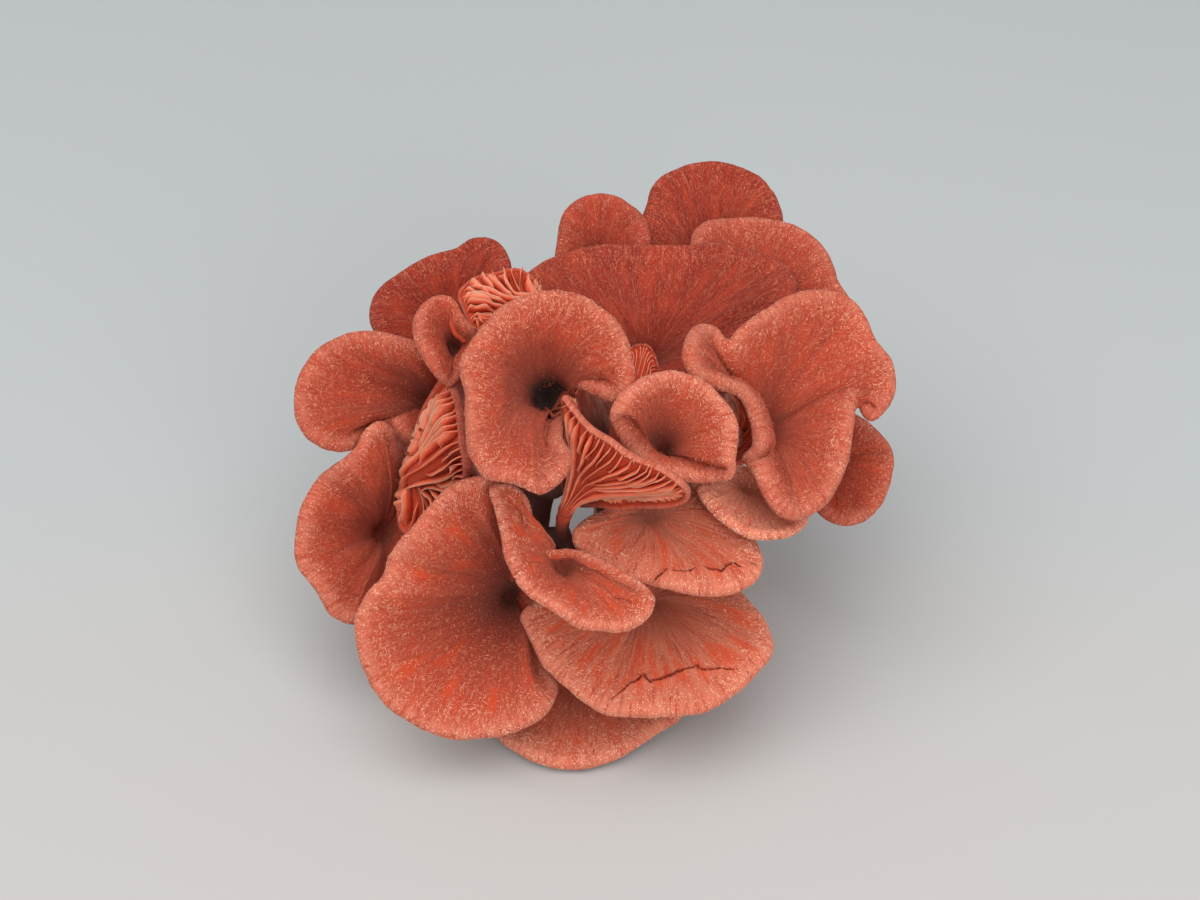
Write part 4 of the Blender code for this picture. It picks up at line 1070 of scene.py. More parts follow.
def under_rows(cap, shape):
    """Rows from inside the lip back under the cap and down the neck."""
    usual_span = np.percentile(shape["span"], USUAL_SPAN)
    rows = [lip_row(shape, LIP_TURN * turn, MARGIN_THICKNESS) for turn in INNER_LIP_TURNS]
    for t in np.linspace(*UNDER_SPAN, int(np.clip(usual_span / UNDER_CELL, *UNDER_ROWS))):
        rows.append(under_row(cap, shape, t, GILL_INTO_FLESH * smoothstep(*FLESH_EDGE, t)))
    return np.array(rows[:-1] + blended_rows([rows[-1]] + neck_rows(cap, shape)))


def skin_surface(cap, shape, seed):
    """The grids of the top with its relief and of the underside."""
    grid, depths = top_rows(cap, shape)
    normals = grid_normals(grid, shape["sense"])
    flow = flow_coordinates(shape, depths)
    fade = smoothstep(*RELIEF_IN, depths) * (1.0 - RELIEF_LOSS * smoothstep(*RELIEF_OUT, depths))
    relief = 0.0
    for height, size, offset in RELIEFS:
        relief = relief + height * value_noise(grid, size, seed + offset)
    fine = 0.0
    for share, size, stretch, offset in WRINKLES:
        fine = fine + share * value_noise(flow * np.array((1.0, 1.0, stretch)), size, seed + offset)
    relief = relief + WRINKLE * cap["wrinkle"] * fine
    scale = (fade[:, None] * shape["fit"][None, :])[..., None]
    grid = grid + normals * relief[..., None] * scale
    return {"grid": grid, "depths": depths, "flow": flow, "under": under_rows(cap, shape)}


@contextmanager
def edited(mesh):
    """A mesh opened for editing, and written back afterwards."""
    shape = bmesh.new()
    shape.from_mesh(mesh)
    yield shape
    shape.to_mesh(mesh)
    shape.free()


def mesh_from_arrays(name, points, faces):
    """A mesh from points in millimetres and an array of faces of one size."""
    mesh = bpy.data.meshes.new(name)
    mesh.vertices.add(len(points))
    mesh.vertices.foreach_set("co", (points * MM).astype(np.float32).ravel())
    mesh.loops.add(faces.size)
    mesh.loops.foreach_set("vertex_index", faces.astype(np.int32).ravel())
    mesh.polygons.add(len(faces))
    starts = np.arange(0, faces.size, faces.shape[1], dtype=np.int32)
    mesh.polygons.foreach_set("loop_start", starts)
    mesh.update(calc_edges=True)
    mesh.validate()
    return mesh


def add_values(mesh, values):
    """Numbers or vectors for each vertex, for the material to read."""
    for name, numbers in values.items():
        numbers = np.asarray(numbers, dtype=np.float32)
        kind, key = ("FLOAT_VECTOR", "vector") if numbers.ndim == 2 else ("FLOAT", "value")
        layer = mesh.attributes.new(name, kind, "POINT")
        layer.data.foreach_set(key, numbers.ravel())


def linked(name, data):
    """A new object in the scene."""
    thing = bpy.data.objects.new(name, data)
    bpy.context.scene.collection.objects.link(thing)
    return thing


def add_piece(name, mesh, material):
    """A visible piece of the cluster."""
    thing = linked(name, mesh)
    mesh.materials.append(material)
    mesh.shade_smooth()
    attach(thing, "root")
    return thing


def grid_faces(rows, columns, flip):
    """Quads between rows that close on themselves."""
    row, column = np.meshgrid(np.arange(rows - 1), np.arange(columns), indexing="ij")
    following = (column + 1) % columns
    a = row * columns + column
    b = (row + 1) * columns + column
    c = (row + 1) * columns + following
    d = row * columns + following
    order = (a, d, c, b) if flip else (a, b, c, d)
    return np.stack(order, axis=-1).reshape(-1, 4)


def close_ends(mesh, rows, columns, flip):
    """Close a grid's first and last row on the last two points of its mesh."""
    base = (rows - 1) * columns
    first = rows * columns
    last = first + 1
    with edited(mesh) as shape:
        shape.verts.ensure_lookup_table()
        for column in range(columns):
            following = (column + 1) % columns
            for corners in ((first, column, following), (last, base + following, base + column)):
                corners = [shape.verts[corner] for corner in corners]
                shape.faces.new(corners[::-1] if flip else corners)


def jagged(crack):
    """A crack with more corners, each shifted a little."""
    places = np.array(crack)
    steps = np.arange(0.0, len(places) - 1 + TINY, CRACK_STEP)
    fine = np.stack([np.interp(steps, np.arange(len(places)), places[:, i]) for i in range(3)], axis=1)
    spots = fine * np.array((1.0, 1.0, 0.0))
    for way, reach, size, seed in CRACK_JITTER:
        fine[:, way] += reach * value_noise(spots, size, seed)
    share, size, seed = CRACK_WIDTH_JITTER
    fine[:, 2] *= 1.0 + share * value_noise(spots, size, seed)
    return [tuple(place) for place in fine]


def crack_shares(points, cracks):
    """How deep in a crack each point lies, and how near below one, from 0 to 1."""
    x, y = view_place(points)
    share = np.zeros(len(points))
    ridge = np.zeros(len(points))
    for crack in cracks:
        for (x0, y0, width0), (x1, y1, width1) in zip(crack, crack[1:]):
            dx = x1 - x0
            dy = y1 - y0
            along = np.clip(((x - x0) * dx + (y - y0) * dy) / (dx * dx + dy * dy), 0.0, 1.0)
            width = width0 + (width1 - width0) * along
            away_x = x - x0 - along * dx
            away_y = y - y0 - along * dy
            away = np.hypot(away_x, away_y)
            share = np.maximum(share, 1.0 - smoothstep(width * CRACK_FLOOR, width, away))
            lifted = (1.0 - smoothstep(width, width * CRACK_RIM, away)) * (away_y < 0)
            ridge = np.maximum(ridge, lifted)
    return share, ridge * (1.0 - share)


def split_along(shape, cracks, depth_layer):
    """Split the faces near some cracks once."""
    shallowest, deepest = CRACKED_DEPTHS
    share = crack_shares(np.array([vert.co for vert in shape.verts]) / MM, cracks)[0]
    chosen = set()
    for vert, value in zip(shape.verts, share):
        if value > 0.0 and shallowest < vert[depth_layer] < deepest:
            chosen.update(vert.link_edges)
    bmesh.ops.subdivide_edges(shape, edges=list(chosen), cuts=1, use_grid_fill=True, smooth=0.0)
    bmesh.ops.triangulate(shape, faces=[face for face in shape.faces if len(face.verts) > 4])


def press_in(shape, cracks, depth_layer):
    """Press the cracks into the skin, and lift it a little below them."""
    shallowest, deepest = CRACKED_DEPTHS
    share, ridge = crack_shares(np.array([vert.co for vert in shape.verts]) / MM, cracks)
    crack_layer = shape.verts.layers.float["crack"]
    shape.normal_update()
    for vert, value, lift in zip(shape.verts, share, ridge):
        if shallowest < vert[depth_layer] < deepest:
            vert[crack_layer] = value
            vert.co += vert.normal * ((lift * CRACK_LIFT - value * CRACK_DEPTH) * MM)


def add_cracks(mesh, cracks):
    """Split the faces along the cracks finely and press the cracks in."""
    cracks = [jagged(crack) for crack in cracks]
    with edited(mesh) as shape:
        depth_layer = shape.verts.layers.float["depth"]
        for extra in CRACK_SPLITS:
            wide = [[(x, y, width + extra) for x, y, width in crack] for crack in cracks]
            split_along(shape, wide, depth_layer)
        press_in(shape, cracks, depth_layer)


def heart_shade_shares(points):
    """How near points lie to the painted shade in the heart of the cluster, from 0 to 1."""
    return smoothstep(*HEART_SHADE_REACH, np.linalg.norm(points - HEART_SHADE_CENTRE, axis=1))


def neck_shares(cap, points):
    """How near points lie to the lower end of the cap's neck, from 0 to 1."""
    return smoothstep(*NECK_SHADE_REACH, np.linalg.norm(points - neck_end(cap), axis=1))


def add_cap_skin(name, cap, shape, surface, material):
    """The top, the lip, the underside and the neck as one closed mesh."""
    grid = surface["grid"]
    under = surface["under"]
    columns = shape["columns"]
    rows = len(grid) + len(under)
    points = np.concatenate([grid, under]).reshape(-1, 3)
    points = np.vstack([points, grid[0].mean(axis=0), under[-1].mean(axis=0)])
    under_flow = flow_coordinates(shape, np.linspace(*UNDER_FLOW, len(under)))
    flow = np.concatenate([surface["flow"], under_flow]).reshape(-1, 3)
    flow = np.vstack([flow, flow[0], flow[-1]])
    depth = np.repeat(np.append(surface["depths"], np.full(len(under), UNDER_DEPTH)), columns)
    depth = np.append(depth, (0.0, UNDER_DEPTH))
    underside = np.repeat(np.append(np.zeros(len(grid)), np.ones(len(under))), columns)
    underside = np.append(underside, (0.0, 1.0))
    flip = shape["sense"] < 0
    mesh = mesh_from_arrays(name, points, grid_faces(rows, columns, flip))
    close_ends(mesh, rows, columns, flip)
    add_values(mesh, {
        "depth": depth,
        "underside": underside * cap["bare_under"],
        "patch": patches(flow, depth, cap["patchy"]),
        # Redness, partly the cap's own tone and partly painted shade and painted light.
        "redness_and_shade": np.full(len(points), cap["redness_and_shade"]),
        # Painted shade in the throat, near-black painted shadow where strongest.
        "throat_shade": cap["throat_shade"] * (1.0 - smoothstep(0.0, cap["throat_shade_reach"], depth)),
        "flow": flow,
        # Painted shade where a cap nears its neck in the heart of the cluster.
        "heart_shade": heart_shade_shares(points) * neck_shares(cap, points),
        "crack": np.zeros(len(points)),
    })
    if cap["cracks"]:
        add_cracks(mesh, cap["cracks"])
    thing = add_piece(name + "_skin", mesh, material)
    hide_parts(name)
    return thing


def sample_grid(grid, row, column):
    """Points at fractional rows and columns of a grid that closes round."""
    rows, columns = grid.shape[:2]
    row = np.clip(row, 0.0, rows - LAST_ROW_GAP)
    row0 = row.astype(int)
    row_part = (row - row0)[..., None]
    column = np.mod(column, columns)
    column0 = column.astype(int) % columns
    column1 = (column0 + 1) % columns
    column_part = (column - np.floor(column))[..., None]
    near = grid[row0, column0] * (1 - column_part) + grid[row0, column1] * column_part
    far = grid[row0 + 1, column0] * (1 - column_part) + grid[row0 + 1, column1] * column_part
    return near * (1 - row_part) + far * row_part


def sample_values(grid, row, column):
    """Single numbers at fractional rows and columns of such a grid."""
    return sample_grid(grid[..., None], row, column)[..., 0]


def tree_of_meshes(meshes):
    """One search tree, in millimetres, over several meshes."""
    points = []
    faces = []
    for mesh in meshes:
        first = len(points)
        points.extend(vert.co / MM for vert in mesh.vertices)
        faces.extend([first + index for index in face.vertices] for face in mesh.polygons)
    return BVHTree.FromPolygons(points, faces)


def room_before(solid, base, normal, depth):
    """Blade depths, cut back where another surface lies in their way."""
    kept = depth.copy()
    for index in np.ndindex(depth.shape):
        way = Vector(normal[index])
        start = Vector(base[index]) + way * RAY_START
        place, _, _, distance = solid.ray_cast(start, way, depth[index] + RAY_START)
        if place is not None:
            kept[index] = max(0.0, distance - RAY_START)
    return np.minimum(kept, depth)


def clear_shares(base, place):
    """0 in a round place that has no blades, rising to 1 at its edge."""
    x, y, reach = place
    right, up = view_place(base.reshape(-1, 3))
    away = np.hypot(right - x, up - y).reshape(base.shape[:-1])
    return smoothstep(CLEARING_START * reach, reach, away)


def blade_faces(count, steps):
    """Quads round the section of each blade, from step to step along it."""
    width = len(BLADE_SECTION)
    first = np.arange(count)[:, None] * steps * width
    faces = []
    for step in range(steps - 1):
        for corner in range(width):
            following = (corner + 1) % width
            a = first + step * width + corner
            b = first + (step + 1) * width + corner
            c = first + (step + 1) * width + following
            d = first + step * width + following
            faces.append(np.concatenate([a, b, c, d], axis=1))
    return np.concatenate(faces)


def add_gills(name, cap, shape, surface, material, solid, seed):
    """Thin blades under the cap, long and short by turns, running to the neck."""
    under = surface["under"]
    rows, columns = under.shape[:2]
    steps = cap["gill_steps"]
    spacing = cap["gill_spacing"]
    wave = cap["gill_wave"]
    wavelength = cap["gill_wavelength"]
    count = int(shape["perimeter"] / spacing)
    blade = np.arange(count)
    ends = np.choose(blade % len(GILL_ENDS), GILL_ENDS)
    ends = ends + GILL_END_SCATTER * hashed(blade, 0, 0, seed)
    share = np.linspace(0.0, 1.0, steps)
    along = ends[:, None] * share
    row = 1.0 + along * (rows - 2)
    column = (blade[:, None] + 0.5) * columns / count * np.ones_like(along)
    # The blades sway together, less where they stand close.
    pitch = sample_values(np.linalg.norm(np.roll(under, -1, axis=1) - under, axis=2), row, column)
    crowd = np.minimum(1.0, pitch * columns / count / (GILL_FULL_PITCH * spacing))
    place = np.zeros((count, steps, 3))
    place[..., 0] = blade[:, None] * GILL_SHIFT
    place[..., 1] = along * np.median(shape["span"])
    sway = value_noise(place, wavelength, seed)
    sway = sway + RIPPLE * value_noise(place, wavelength * RIPPLE_LENGTH, seed + 1)
    column = column + wave * sway * crowd / np.maximum(pitch, NARROWEST_PITCH)
    base = sample_grid(under, row, column)
    normal = unit(sample_grid(grid_normals(under, shape["sense"]), row, column))
    side = unit(np.cross(unit(np.gradient(base, axis=1)), normal))
    # They stand out less at both ends, where they are crowded and on thin margins.
    rise = smoothstep(*GILL_RISE, share) * (1.0 - smoothstep(*GILL_FALL, share))
    depth = cap["gill_depth"] + GILL_INTO_FLESH + cap["gill_extra"]
    depth = depth * rise * (CROWDED_DEPTH + (1.0 - CROWDED_DEPTH) * crowd)
    depth = depth * (1.0 + SWELL * value_noise(place * SWELL_PACE, wavelength, seed + 2))
    depth = depth * sample_values(np.broadcast_to(shape["fit"], (rows, columns)), row, column)
    clear = np.ones(depth.shape)
    if "no_gills" in cap:
        clear = clear_shares(base, cap["no_gills"])
    depth = room_before(solid, base, normal, depth * clear)
    thick = GILL_HALF_THICKNESS * cap["gill_thick"]
    thick = thick * (CROWDED_THICKNESS + (1.0 - CROWDED_THICKNESS) * crowd)
    lean = value_noise(place + LEAN_SHIFT, wavelength * LEAN_LENGTH, seed + 3)
    lean = wave * LEAN * lean * crowd
    points = []
    for height, half in BLADE_SECTION:
        out = normal * (depth * height - GILL_SINK)[..., None]
        points.append(base + out + side * (thick * half + lean * height**LEAN_CURVE)[..., None])
    points = np.stack(points, axis=2).reshape(-1, 3)
    heights = np.tile([height for height, half in BLADE_SECTION], count * steps)
    faces = blade_faces(count, steps)
    width = len(BLADE_SECTION)
    shown = np.repeat(clear.reshape(-1), width)[faces].min(axis=1) > 0.0
    used, faces = np.unique(faces[shown], return_inverse=True)
    mesh = mesh_from_arrays(name + "_gills", points[used], faces.reshape(-1, 4))
    add_values(mesh, {"edge": heights[used]})
    return add_piece(name + "_gills", mesh, material)


def fuzz_density(cap, depth, flow, tufts):
    """Fibres to a square millimetre at each place of the skin grid."""
    density = FUZZ_HOLLOW + (FUZZ_MIDDLE - FUZZ_HOLLOW) * smoothstep(*FUZZ_MIDDLE_FROM, depth)
    margin = smoothstep(*cap["fuzz_from"], depth)
    density = density + (FUZZ_MARGIN - FUZZ_MIDDLE) * margin
    density = density * (1.0 - FUZZ_BARENESS * smoothstep(*FUZZ_BARE_FROM, depth))
    density = density * (TUFT_LEAST + TUFT_GAIN * smoothstep(*TUFT_RANGE, tufts))
    return density * (1.0 - FUZZ_WORN * patches(flow, depth, cap["patchy"]))


def add_fuzz(name, cap, shape, surface, material, seed):
    """Pale bent fibres on the top and the lip, combed towards the margin."""
    grid = surface["grid"]
    depths = surface["depths"]
    flow = surface["flow"]
    rows, columns = grid.shape[:2]
    around = np.roll(grid, -1, axis=1) - grid
    outward = np.gradient(grid, axis=0)
    area = np.linalg.norm(np.cross(outward, around), axis=2)[:-1]
    depth = np.broadcast_to(depths[:, None], (rows, columns))
    tufts = value_noise(flow * TUFT_STRETCH, TUFT_SIZE, seed)
    density = fuzz_density(cap, depth, flow, tufts)
    weight = (area * density[:-1] * cap["fuzz"]).ravel()
    total = int(weight.sum())
    chance = np.random.default_rng(seed)
    cell = np.searchsorted(np.cumsum(weight), chance.random(total) * weight.sum())
    cell = np.minimum(cell, len(weight) - 1)
    row = cell // columns + chance.random(total)
    column = cell % columns + chance.random(total)
    base = sample_grid(grid, row, column)
    normal = unit(sample_grid(grid_normals(grid, shape["sense"]), row, column))
    way = unit(sample_grid(outward, row, column))
    across = np.cross(normal, way)
    depth_here = np.interp(row, np.arange(rows), depths)
    comb = value_noise(sample_grid(flow, row, column), TANGLE_SIZE, seed + 1) * cap["tangle"]
    comb = comb + chance.normal(0.0, COMB_SCATTER, total)
    bend = chance.normal(0.0, BEND_SCATTER, total)
    lift = np.clip(chance.normal(*LIFT, total), *LIFT_RANGE)
    length = SHORTEST_FIBRE + FIBRE_SCATTER * chance.random(total)
    length = length * cap["fuzz_length"]
    at_rim = smoothstep(*RIM_FROM, depth_here)
    lift = lift * (1.0 - RIM_LIFT_LOSS * at_rim)
    fuller = smoothstep(*HOLLOW_LENGTH_TO, depth_here)
    length = length * (HOLLOW_LENGTH + (1.0 - HOLLOW_LENGTH) * fuller) * (1.0 - RIM_LENGTH_LOSS * at_rim)
    if cap["cracks"]:
        in_crack = crack_shares(base, cap["cracks"])[0]
        length = length * (1.0 - CRACK_BALDNESS * np.minimum(1.0, CRACK_BALD_REACH * in_crack))
    # Each fibre has two parts: the second turns aside and lies flatter.
    steps = []
    sides = []
    for turn, rise, share in FIBRE_PARTS:
        flat = swung(way, across, comb + bend * turn)
        step = swung(flat, normal, lift * rise)
        steps.append(step * (length * share)[:, None])
        sides.append(unit(np.cross(step, normal)) * (FUZZ_WIDTH * 0.5))
    root = base - normal * FUZZ_ROOT
    middle = root + steps[0]
    tip = middle + steps[1]
    root_side = sides[0]
    middle_side = sides[1] * FIBRE_TAPER
    corners = (root - root_side, root + root_side, middle - middle_side, middle + middle_side, tip)
    points = np.stack(corners, axis=1)
    faces = np.arange(total)[:, None, None] * len(corners) + np.array(FIBRE_FACES)
    mesh = mesh_from_arrays(name + "_fuzz", points.reshape(-1, 3), faces.reshape(-1, 3))
    tuft_here = sample_values(tufts, row, column)
    pale = PALENESS + PALE_SCATTER * chance.random(total)
    pale = pale + TUFT_PALENESS * smoothstep(*TUFT_PALE_RANGE, tuft_here)
    pale = pale + RIM_PALENESS * smoothstep(*RIM_PALE_FROM, depth_here)
    # Fibres dull with the cap's redness and painted shade, and pale with its painted light.
    pale = pale - RED_AND_SHADE_DULLS * cap["redness_and_shade"]
    add_values(mesh, {"pale": (pale[:, None] + FIBRE_PALENESS).ravel()})
    return add_piece(name + "_fuzz", mesh, material)


def circle_about(way):
    """Spokes of length one, all round a direction."""
    side = unit(np.cross(way, STEM_FRONT))
    return swung(side, np.cross(way, side), angles_round(STEM_SIDES))


def knob_rings(start, end, radius):
    """A short round-ended tube between two places, for a knob or a young stem."""
    start = seen(*start)
    end = seen(*end)
    circle = circle_about(unit(end - start))
    rings = []
    for along, width in KNOB_PROFILE:
        rings.append(start + (end - start) * along + circle * (radius * width))
    return rings


def stem_rings(cap):
    """A tapering tube from the foot to just below the cap's neck."""
    stalk = stalk_direction(cap, heading(*cap["axis"]))
    neck = neck_end(cap) + stalk * JOIN_GAP
    foot_x, foot_y = cap["foot"]
    foot = np.array((foot_x, foot_y, -FOOT_BELOW_CUT))
    reach = np.linalg.norm(neck - foot)
    rise = foot + np.array((foot_x * STEM_SPLAY, foot_y * STEM_SPLAY, reach * STEM_RISE))
    arrive = neck + stalk * reach * STEM_ARRIVAL
    top_radius = cap["neck_radius"] * STEM_TOP_SHARE
    rings = []
    for step in range(STEM_STEPS + 1):
        t = step / STEM_STEPS
        s = 1.0 - t
        centre = curve_towards(foot, rise, arrive, neck, t)
        way = (rise - foot) * (s * s) + (arrive - rise) * (2 * s * t) + (neck - arrive) * (t * t)
        radius = STEM_FOOT_RADIUS + (top_radius - STEM_FOOT_RADIUS) * min(1.0, STEM_TAPER * t)
        rings.append(centre + circle_about(unit(way)) * radius)
    return rings


def foot_rings():
    """The lumpy mass that all the stems rise from."""
    angle = angles_round(FOOT_SIDES)
    rings = []
    for height, spread in FOOT_PROFILE:
        lump = 1.0 + FOOT_LUMP * np.sin(FOOT_LUMPS * angle + height * FOOT_TWIST)
        lump = lump + FOOT_RIPPLE * np.cos(FOOT_RIPPLES * angle)
        x = FOOT_HALF_WIDTH * spread * lump * np.cos(angle)
        y = FOOT_HALF_DEPTH * spread * lump * np.sin(angle)
        rings.append(np.stack([x, y, np.full(FOOT_SIDES, height)], axis=1))
    return rings


def add_tube(shape, rings):
    """Add a closed tube over rings to a mesh that is being built."""
    rows = [[shape.verts.new(Vector(point) * MM) for point in ring] for ring in rings]
    sides = len(rows[0])
    for upper, lower in zip(rows, rows[1:]):
        for index in range(sides):
            following = (index + 1) % sides
            shape.faces.new((upper[index], upper[following], lower[following], lower[index]))
    shape.faces.new(rows[0][::-1])
    shape.faces.new(rows[-1])


def read_vertices(mesh, key):
    """The places or the normals of a mesh's vertices."""
    numbers = np.zeros(len(mesh.vertices) * 3)
    mesh.vertices.foreach_get(key, numbers)
    return numbers.reshape(-1, 3)


def joined_stems(caps):
    """One mesh of the foot, the stems and the knobs grown together."""
    mesh = bpy.data.meshes.new("stems")
    with edited(mesh) as shape:
        add_tube(shape, foot_rings())
        for cap in caps:
            add_tube(shape, stem_rings(cap))
        for start, end, radius in KNOBS:
            add_tube(shape, knob_rings(start, end, radius))
        bmesh.ops.recalc_face_normals(shape, faces=shape.faces)
    thing = linked("stems", mesh)
    grown = thing.modifiers.new("Grown together", "REMESH")
    grown.mode = "VOXEL"
    grown.voxel_size = CLUMP_VOXEL * MM
    softened = thing.modifiers.new("Softened", "SMOOTH")
    softened.iterations = CLUMP_SMOOTHING
    graph = bpy.context.evaluated_depsgraph_get()
    mesh = bpy.data.meshes.new_from_object(thing.evaluated_get(graph), depsgraph=graph)
    bpy.data.objects.remove(thing)
    return mesh


def groove(mesh):
    """Press fine grooves and broad lumps into the stems."""
    points = read_vertices(mesh, "co") / MM
    grooves = value_noise(points * GROOVE_STRETCH, GROOVE_SIZE, GROOVE_SEED)
    lumps = value_noise(points, LUMP_SIZE, LUMP_SEED)
    out = GROOVE_DEPTH * grooves + LUMP_DEPTH * lumps
    points = points + read_vertices(mesh, "normal") * out[:, None]
    mesh.vertices.foreach_set("co", (points * MM).ravel())


def cut_flat(mesh):
    """Cut the foot off at the surface that the cluster stands on."""
    with edited(mesh) as shape:
        cut = bmesh.ops.bisect_plane(
            shape, geom=shape.verts[:] + shape.edges[:] + shape.faces[:], dist=TINY,
            plane_co=(0, 0, 0), plane_no=(0, 0, 1), clear_inner=True)
        edges = [item for item in cut["geom_cut"] if isinstance(item, bmesh.types.BMEdge)]
        bmesh.ops.holes_fill(shape, edges=edges)


def add_clump(material, nodes):
    """Foot and stems grown together, with fine grooves down the stems."""
    caps = [{**USUAL, **outline} for outline in CAPS.values()]
    mesh = joined_stems(caps)
    groove(mesh)
    cut_flat(mesh)
    points = read_vertices(mesh, "co") / MM
    apart = [np.linalg.norm(points - neck_end(cap), axis=1) for cap in caps]
    neck = smoothstep(*NECK_TINT, np.min(apart, axis=0))
    # Painted shade in the heart of the cluster, where the stems meet.
    add_values(mesh, {"neck": neck, "heart_shade": heart_shade_shares(points)})
    thing = add_piece("stems", mesh, material)
    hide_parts(*nodes)


def new_material(name, finish):
    """A material, its node tree and its shader with some settings."""
    material = bpy.data.materials.new(name)
    material.use_nodes = True
    tree = material.node_tree
    shader = tree.nodes["Principled BSDF"]
    for key, value in finish.items():
        shader.inputs[key].default_value = value
    return material, tree, shader


def wired(tree, kind, inputs):
    """A node whose inputs are linked to a socket or set to a plain value."""
    node = tree.nodes.new(kind)
    for key, value in inputs.items():
        if isinstance(value, bpy.types.NodeSocket):
            tree.links.new(value, node.inputs[key])
        else:
            node.inputs[key].default_value = value
    return node


def attribute(tree, name, output="Fac"):
    """A number, or with output "Vector" a vector, that the mesh carries."""
    node = tree.nodes.new("ShaderNodeAttribute")
    node.attribute_name = name
    return node.outputs[output]


def object_place(tree):
    """The place in space that is being shaded, in metres."""
    return tree.nodes.new("ShaderNodeTexCoord").outputs["Object"]


def ramp(tree, value, stops):
    """A colour ramp: stops are (place, colour)."""
    node = wired(tree, "ShaderNodeValToRGB", {"Fac": value})
    elements = node.color_ramp.elements
    for index, (place, colour) in enumerate((stops[0], stops[-1])):
        elements[index].position = place
        elements[index].color = (*colour, 1.0)
    for place, colour in stops[1:-1]:
        elements.new(place).color = (*colour, 1.0)
    return node.outputs["Color"]


def noise(tree, vector, kind):
    """Noise of one kind, along a vector."""
    stretch, scale, detail, roughness = kind
    stretched = wired(tree, "ShaderNodeVectorMath", {0: vector, 1: stretch})
    stretched.operation = "MULTIPLY"
    inputs = {"Scale": scale, "Detail": detail, "Roughness": roughness, "Vector": stretched.outputs[0]}
    return wired(tree, "ShaderNodeTexNoise", inputs).outputs["Fac"]


def mapped(tree, value, low, high, strength):
    """A value's way from low to high, as a share up to a strength."""
    inputs = {"From Min": low, "From Max": high, "To Max": strength, "Value": value}
    return wired(tree, "ShaderNodeMapRange", inputs).outputs["Result"]


def layered(tree, colour, layers, noises):
    """A colour with others laid over it, each by a noise or an attribute."""
    for name, low, high, strength, over in layers:
        value = noises[name] if name in noises else attribute(tree, name)
        node = tree.nodes.new("ShaderNodeMix")
        node.data_type = "RGBA"
        tree.links.new(mapped(tree, value, low, high, strength), node.inputs[MIX_SHARE])
        tree.links.new(colour, node.inputs[MIX_FIRST])
        node.inputs[MIX_SECOND].default_value = (*over, 1.0)
        colour = node.outputs[MIX_RESULT]
    return colour


def added(tree, first, second, share):
    """One value and a share of another."""
    node = wired(tree, "ShaderNodeMath", {0: second, 1: share, 2: first})
    node.operation = "MULTIPLY_ADD"
    return node.outputs["Value"]


def bumped(tree, shader, height, strength, distance):
    """Bumps on the surface from a height."""
    node = wired(tree, "ShaderNodeBump", {"Strength": strength, "Distance": distance, "Height": height})
    tree.links.new(node.outputs["Normal"], shader.inputs["Normal"])


def skin_material():
    """Velvety coral skin: painted shade in the throat and near the necks in the heart of the cluster,
    streaked, blotched and grained.
    """
    material, tree, shader = new_material("cap skin", SKIN_FINISH)
    flow = attribute(tree, "flow", "Vector")
    noises = {name: noise(tree, flow, kind) for name, kind in SKIN_NOISES.items()}
    colour = ramp(tree, attribute(tree, "depth"), SKIN_BY_DEPTH)
    colour = layered(tree, colour, SKIN_LAYERS, noises)
    tree.links.new(colour, shader.inputs["Base Color"])
    bumped(tree, shader, added(tree, noises["streaks"], noises["grain"], GRAIN_IN_BUMP), *SKIN_BUMP)
    return material


def gill_material():
    """Deep orange-red blades with paler edges, darkened towards their roots as painted shade."""
    material, tree, shader = new_material("gills", GILL_FINISH)
    mottle = noise(tree, object_place(tree), GILL_MOTTLE)
    colour = ramp(tree, attribute(tree, "edge"), GILL_BY_EDGE)
    colour = layered(tree, colour, GILL_LAYERS, {"mottle": mottle})
    tree.links.new(colour, shader.inputs["Base Color"])
    bumped(tree, shader, mottle, *GILL_BUMP)
    return material


def fuzz_material():
    """Fibres from coral to almost white."""
    material, tree, shader = new_material("fuzz", FUZZ_FINISH)
    colour = ramp(tree, attribute(tree, "pale"), FUZZ_BY_PALENESS)
    tree.links.new(colour, shader.inputs["Base Color"])
    return material


def stem_material():
    """Pale pink fibrous stems, orange-red at the necks, with painted shade in the heart."""
    material, tree, shader = new_material("stems", STEM_FINISH)
    place = object_place(tree)
    streaks = noise(tree, place, STEM_STREAKS)
    blotches = noise(tree, place, STEM_BLOTCHES)
    colour = ramp(tree, streaks, STEM_BY_STREAK)
    colour = layered(tree, colour, STEM_LAYERS, {"blotches": blotches})
    tree.links.new(colour, shader.inputs["Base Color"])
    bumped(tree, shader, added(tree, streaks, blotches, BLOTCH_IN_BUMP), *STEM_BUMP)
    return material


def floor_material():
    """A pale sheet, warmer in front and cooler behind."""
    material, tree, shader = new_material("floor", FLOOR_FINISH)
    split = wired(tree, "ShaderNodeSeparateXYZ", {"Vector": object_place(tree)})
    colour = ramp(tree, mapped(tree, split.outputs["Y"], *FLOOR_DEPTHS, 1.0), FLOOR_BY_DEPTH)
    tree.links.new(colour, shader.inputs["Base Color"])
    return material


def add_floor():
    """The sheet that the cluster stands on."""
    mesh = bpy.data.meshes.new("floor")
    corners = [(x * FLOOR_HALF, y * FLOOR_HALF, 0) for x, y in FLOOR_CORNERS]
    mesh.from_pydata(corners, [], [(0, 1, 2, 3)])
    mesh.materials.append(floor_material())
    linked("floor", mesh)


def aim(thing, place):
    """Put a lamp or a camera at a place, facing the middle of the cluster."""
    thing.location = place
    way = Vector(MIDDLE * MM) - thing.location
    thing.rotation_euler = way.to_track_quat("-Z", "Y").to_euler()


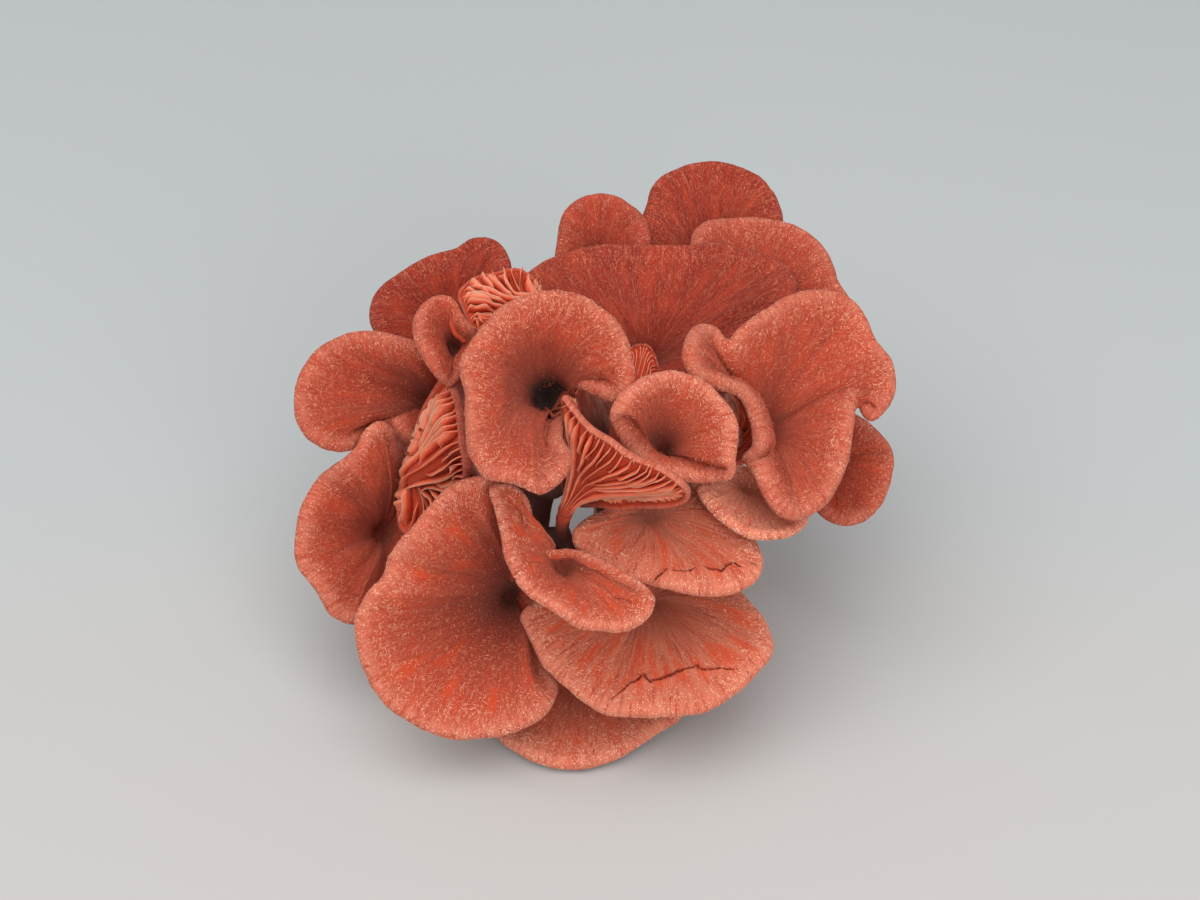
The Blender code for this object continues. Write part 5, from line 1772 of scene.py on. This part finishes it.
def add_light(name, place, size, energy, colour):
    """A round soft lamp."""
    data = bpy.data.lights.new(name, "AREA")
    data.shape = "DISK"
    data.size = size
    data.energy = energy
    data.color = colour
    aim(linked(name, data), place)


def add_camera():
    """The eye of the photo."""
    data = bpy.data.cameras.new("camera")
    data.sensor_width = SENSOR_WIDTH
    data.lens = LENS
    data.clip_start = CLIP_START
    camera = linked("camera", data)
    aim(camera, Vector((MIDDLE + TOWARD * VIEW_DISTANCE) * MM))
    bpy.context.scene.camera = camera


def add_surroundings():
    """Daylight, the sheet, the lamps and the camera."""
    world = bpy.data.worlds.new("studio")
    world.use_nodes = True
    background = world.node_tree.nodes["Background"]
    background.inputs["Color"].default_value = (*WORLD_COLOUR, 1.0)
    background.inputs["Strength"].default_value = WORLD_STRENGTH
    bpy.context.scene.world = world
    bpy.context.scene.view_settings.view_transform = "Standard"
    add_floor()
    for name, place, size, energy, colour in LIGHTS:
        add_light(name, place, size, energy, colour)
    add_camera()


def add_caps():
    """Skin, gills and fuzz of every cap."""
    skin = skin_material()
    gills = gill_material()
    fuzz = fuzz_material()
    drawn = []
    for order, (name, outline) in enumerate(CAPS.items()):
        cap = {**USUAL, **outline, **DRESS.get(name, {})}
        seed = FIRST_SEED + SEED_STEP * order
        perimeter = spaced_evenly(crest_curve(cap), LEAST_COLUMNS)[1]
        columns = int(np.clip(perimeter / CELL, LEAST_COLUMNS, MOST_COLUMNS))
        shape = cap_shape(cap, columns, seed)
        surface = skin_surface(cap, shape, seed)
        thing = add_cap_skin(name, cap, shape, surface, skin)
        drawn.append((name, cap, shape, surface, seed, thing))
    # The blades end where any skin lies in their way, so all the skins come first.
    solid = tree_of_meshes([entry[-1].data for entry in drawn])
    for name, cap, shape, surface, seed, _ in drawn:
        if cap["gills"]:
            add_gills(name, cap, shape, surface, gills, solid, seed + GILL_SEED)
        add_fuzz(name, cap, shape, surface, fuzz, seed + FUZZ_SEED)


def main():
    """Dress the cluster."""
    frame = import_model()
    add_caps()
    add_clump(stem_material(), [node for node in frame["nodes"] if node.startswith("stem")])
    add_surroundings()
    bpy.context.view_layer.update()


main()
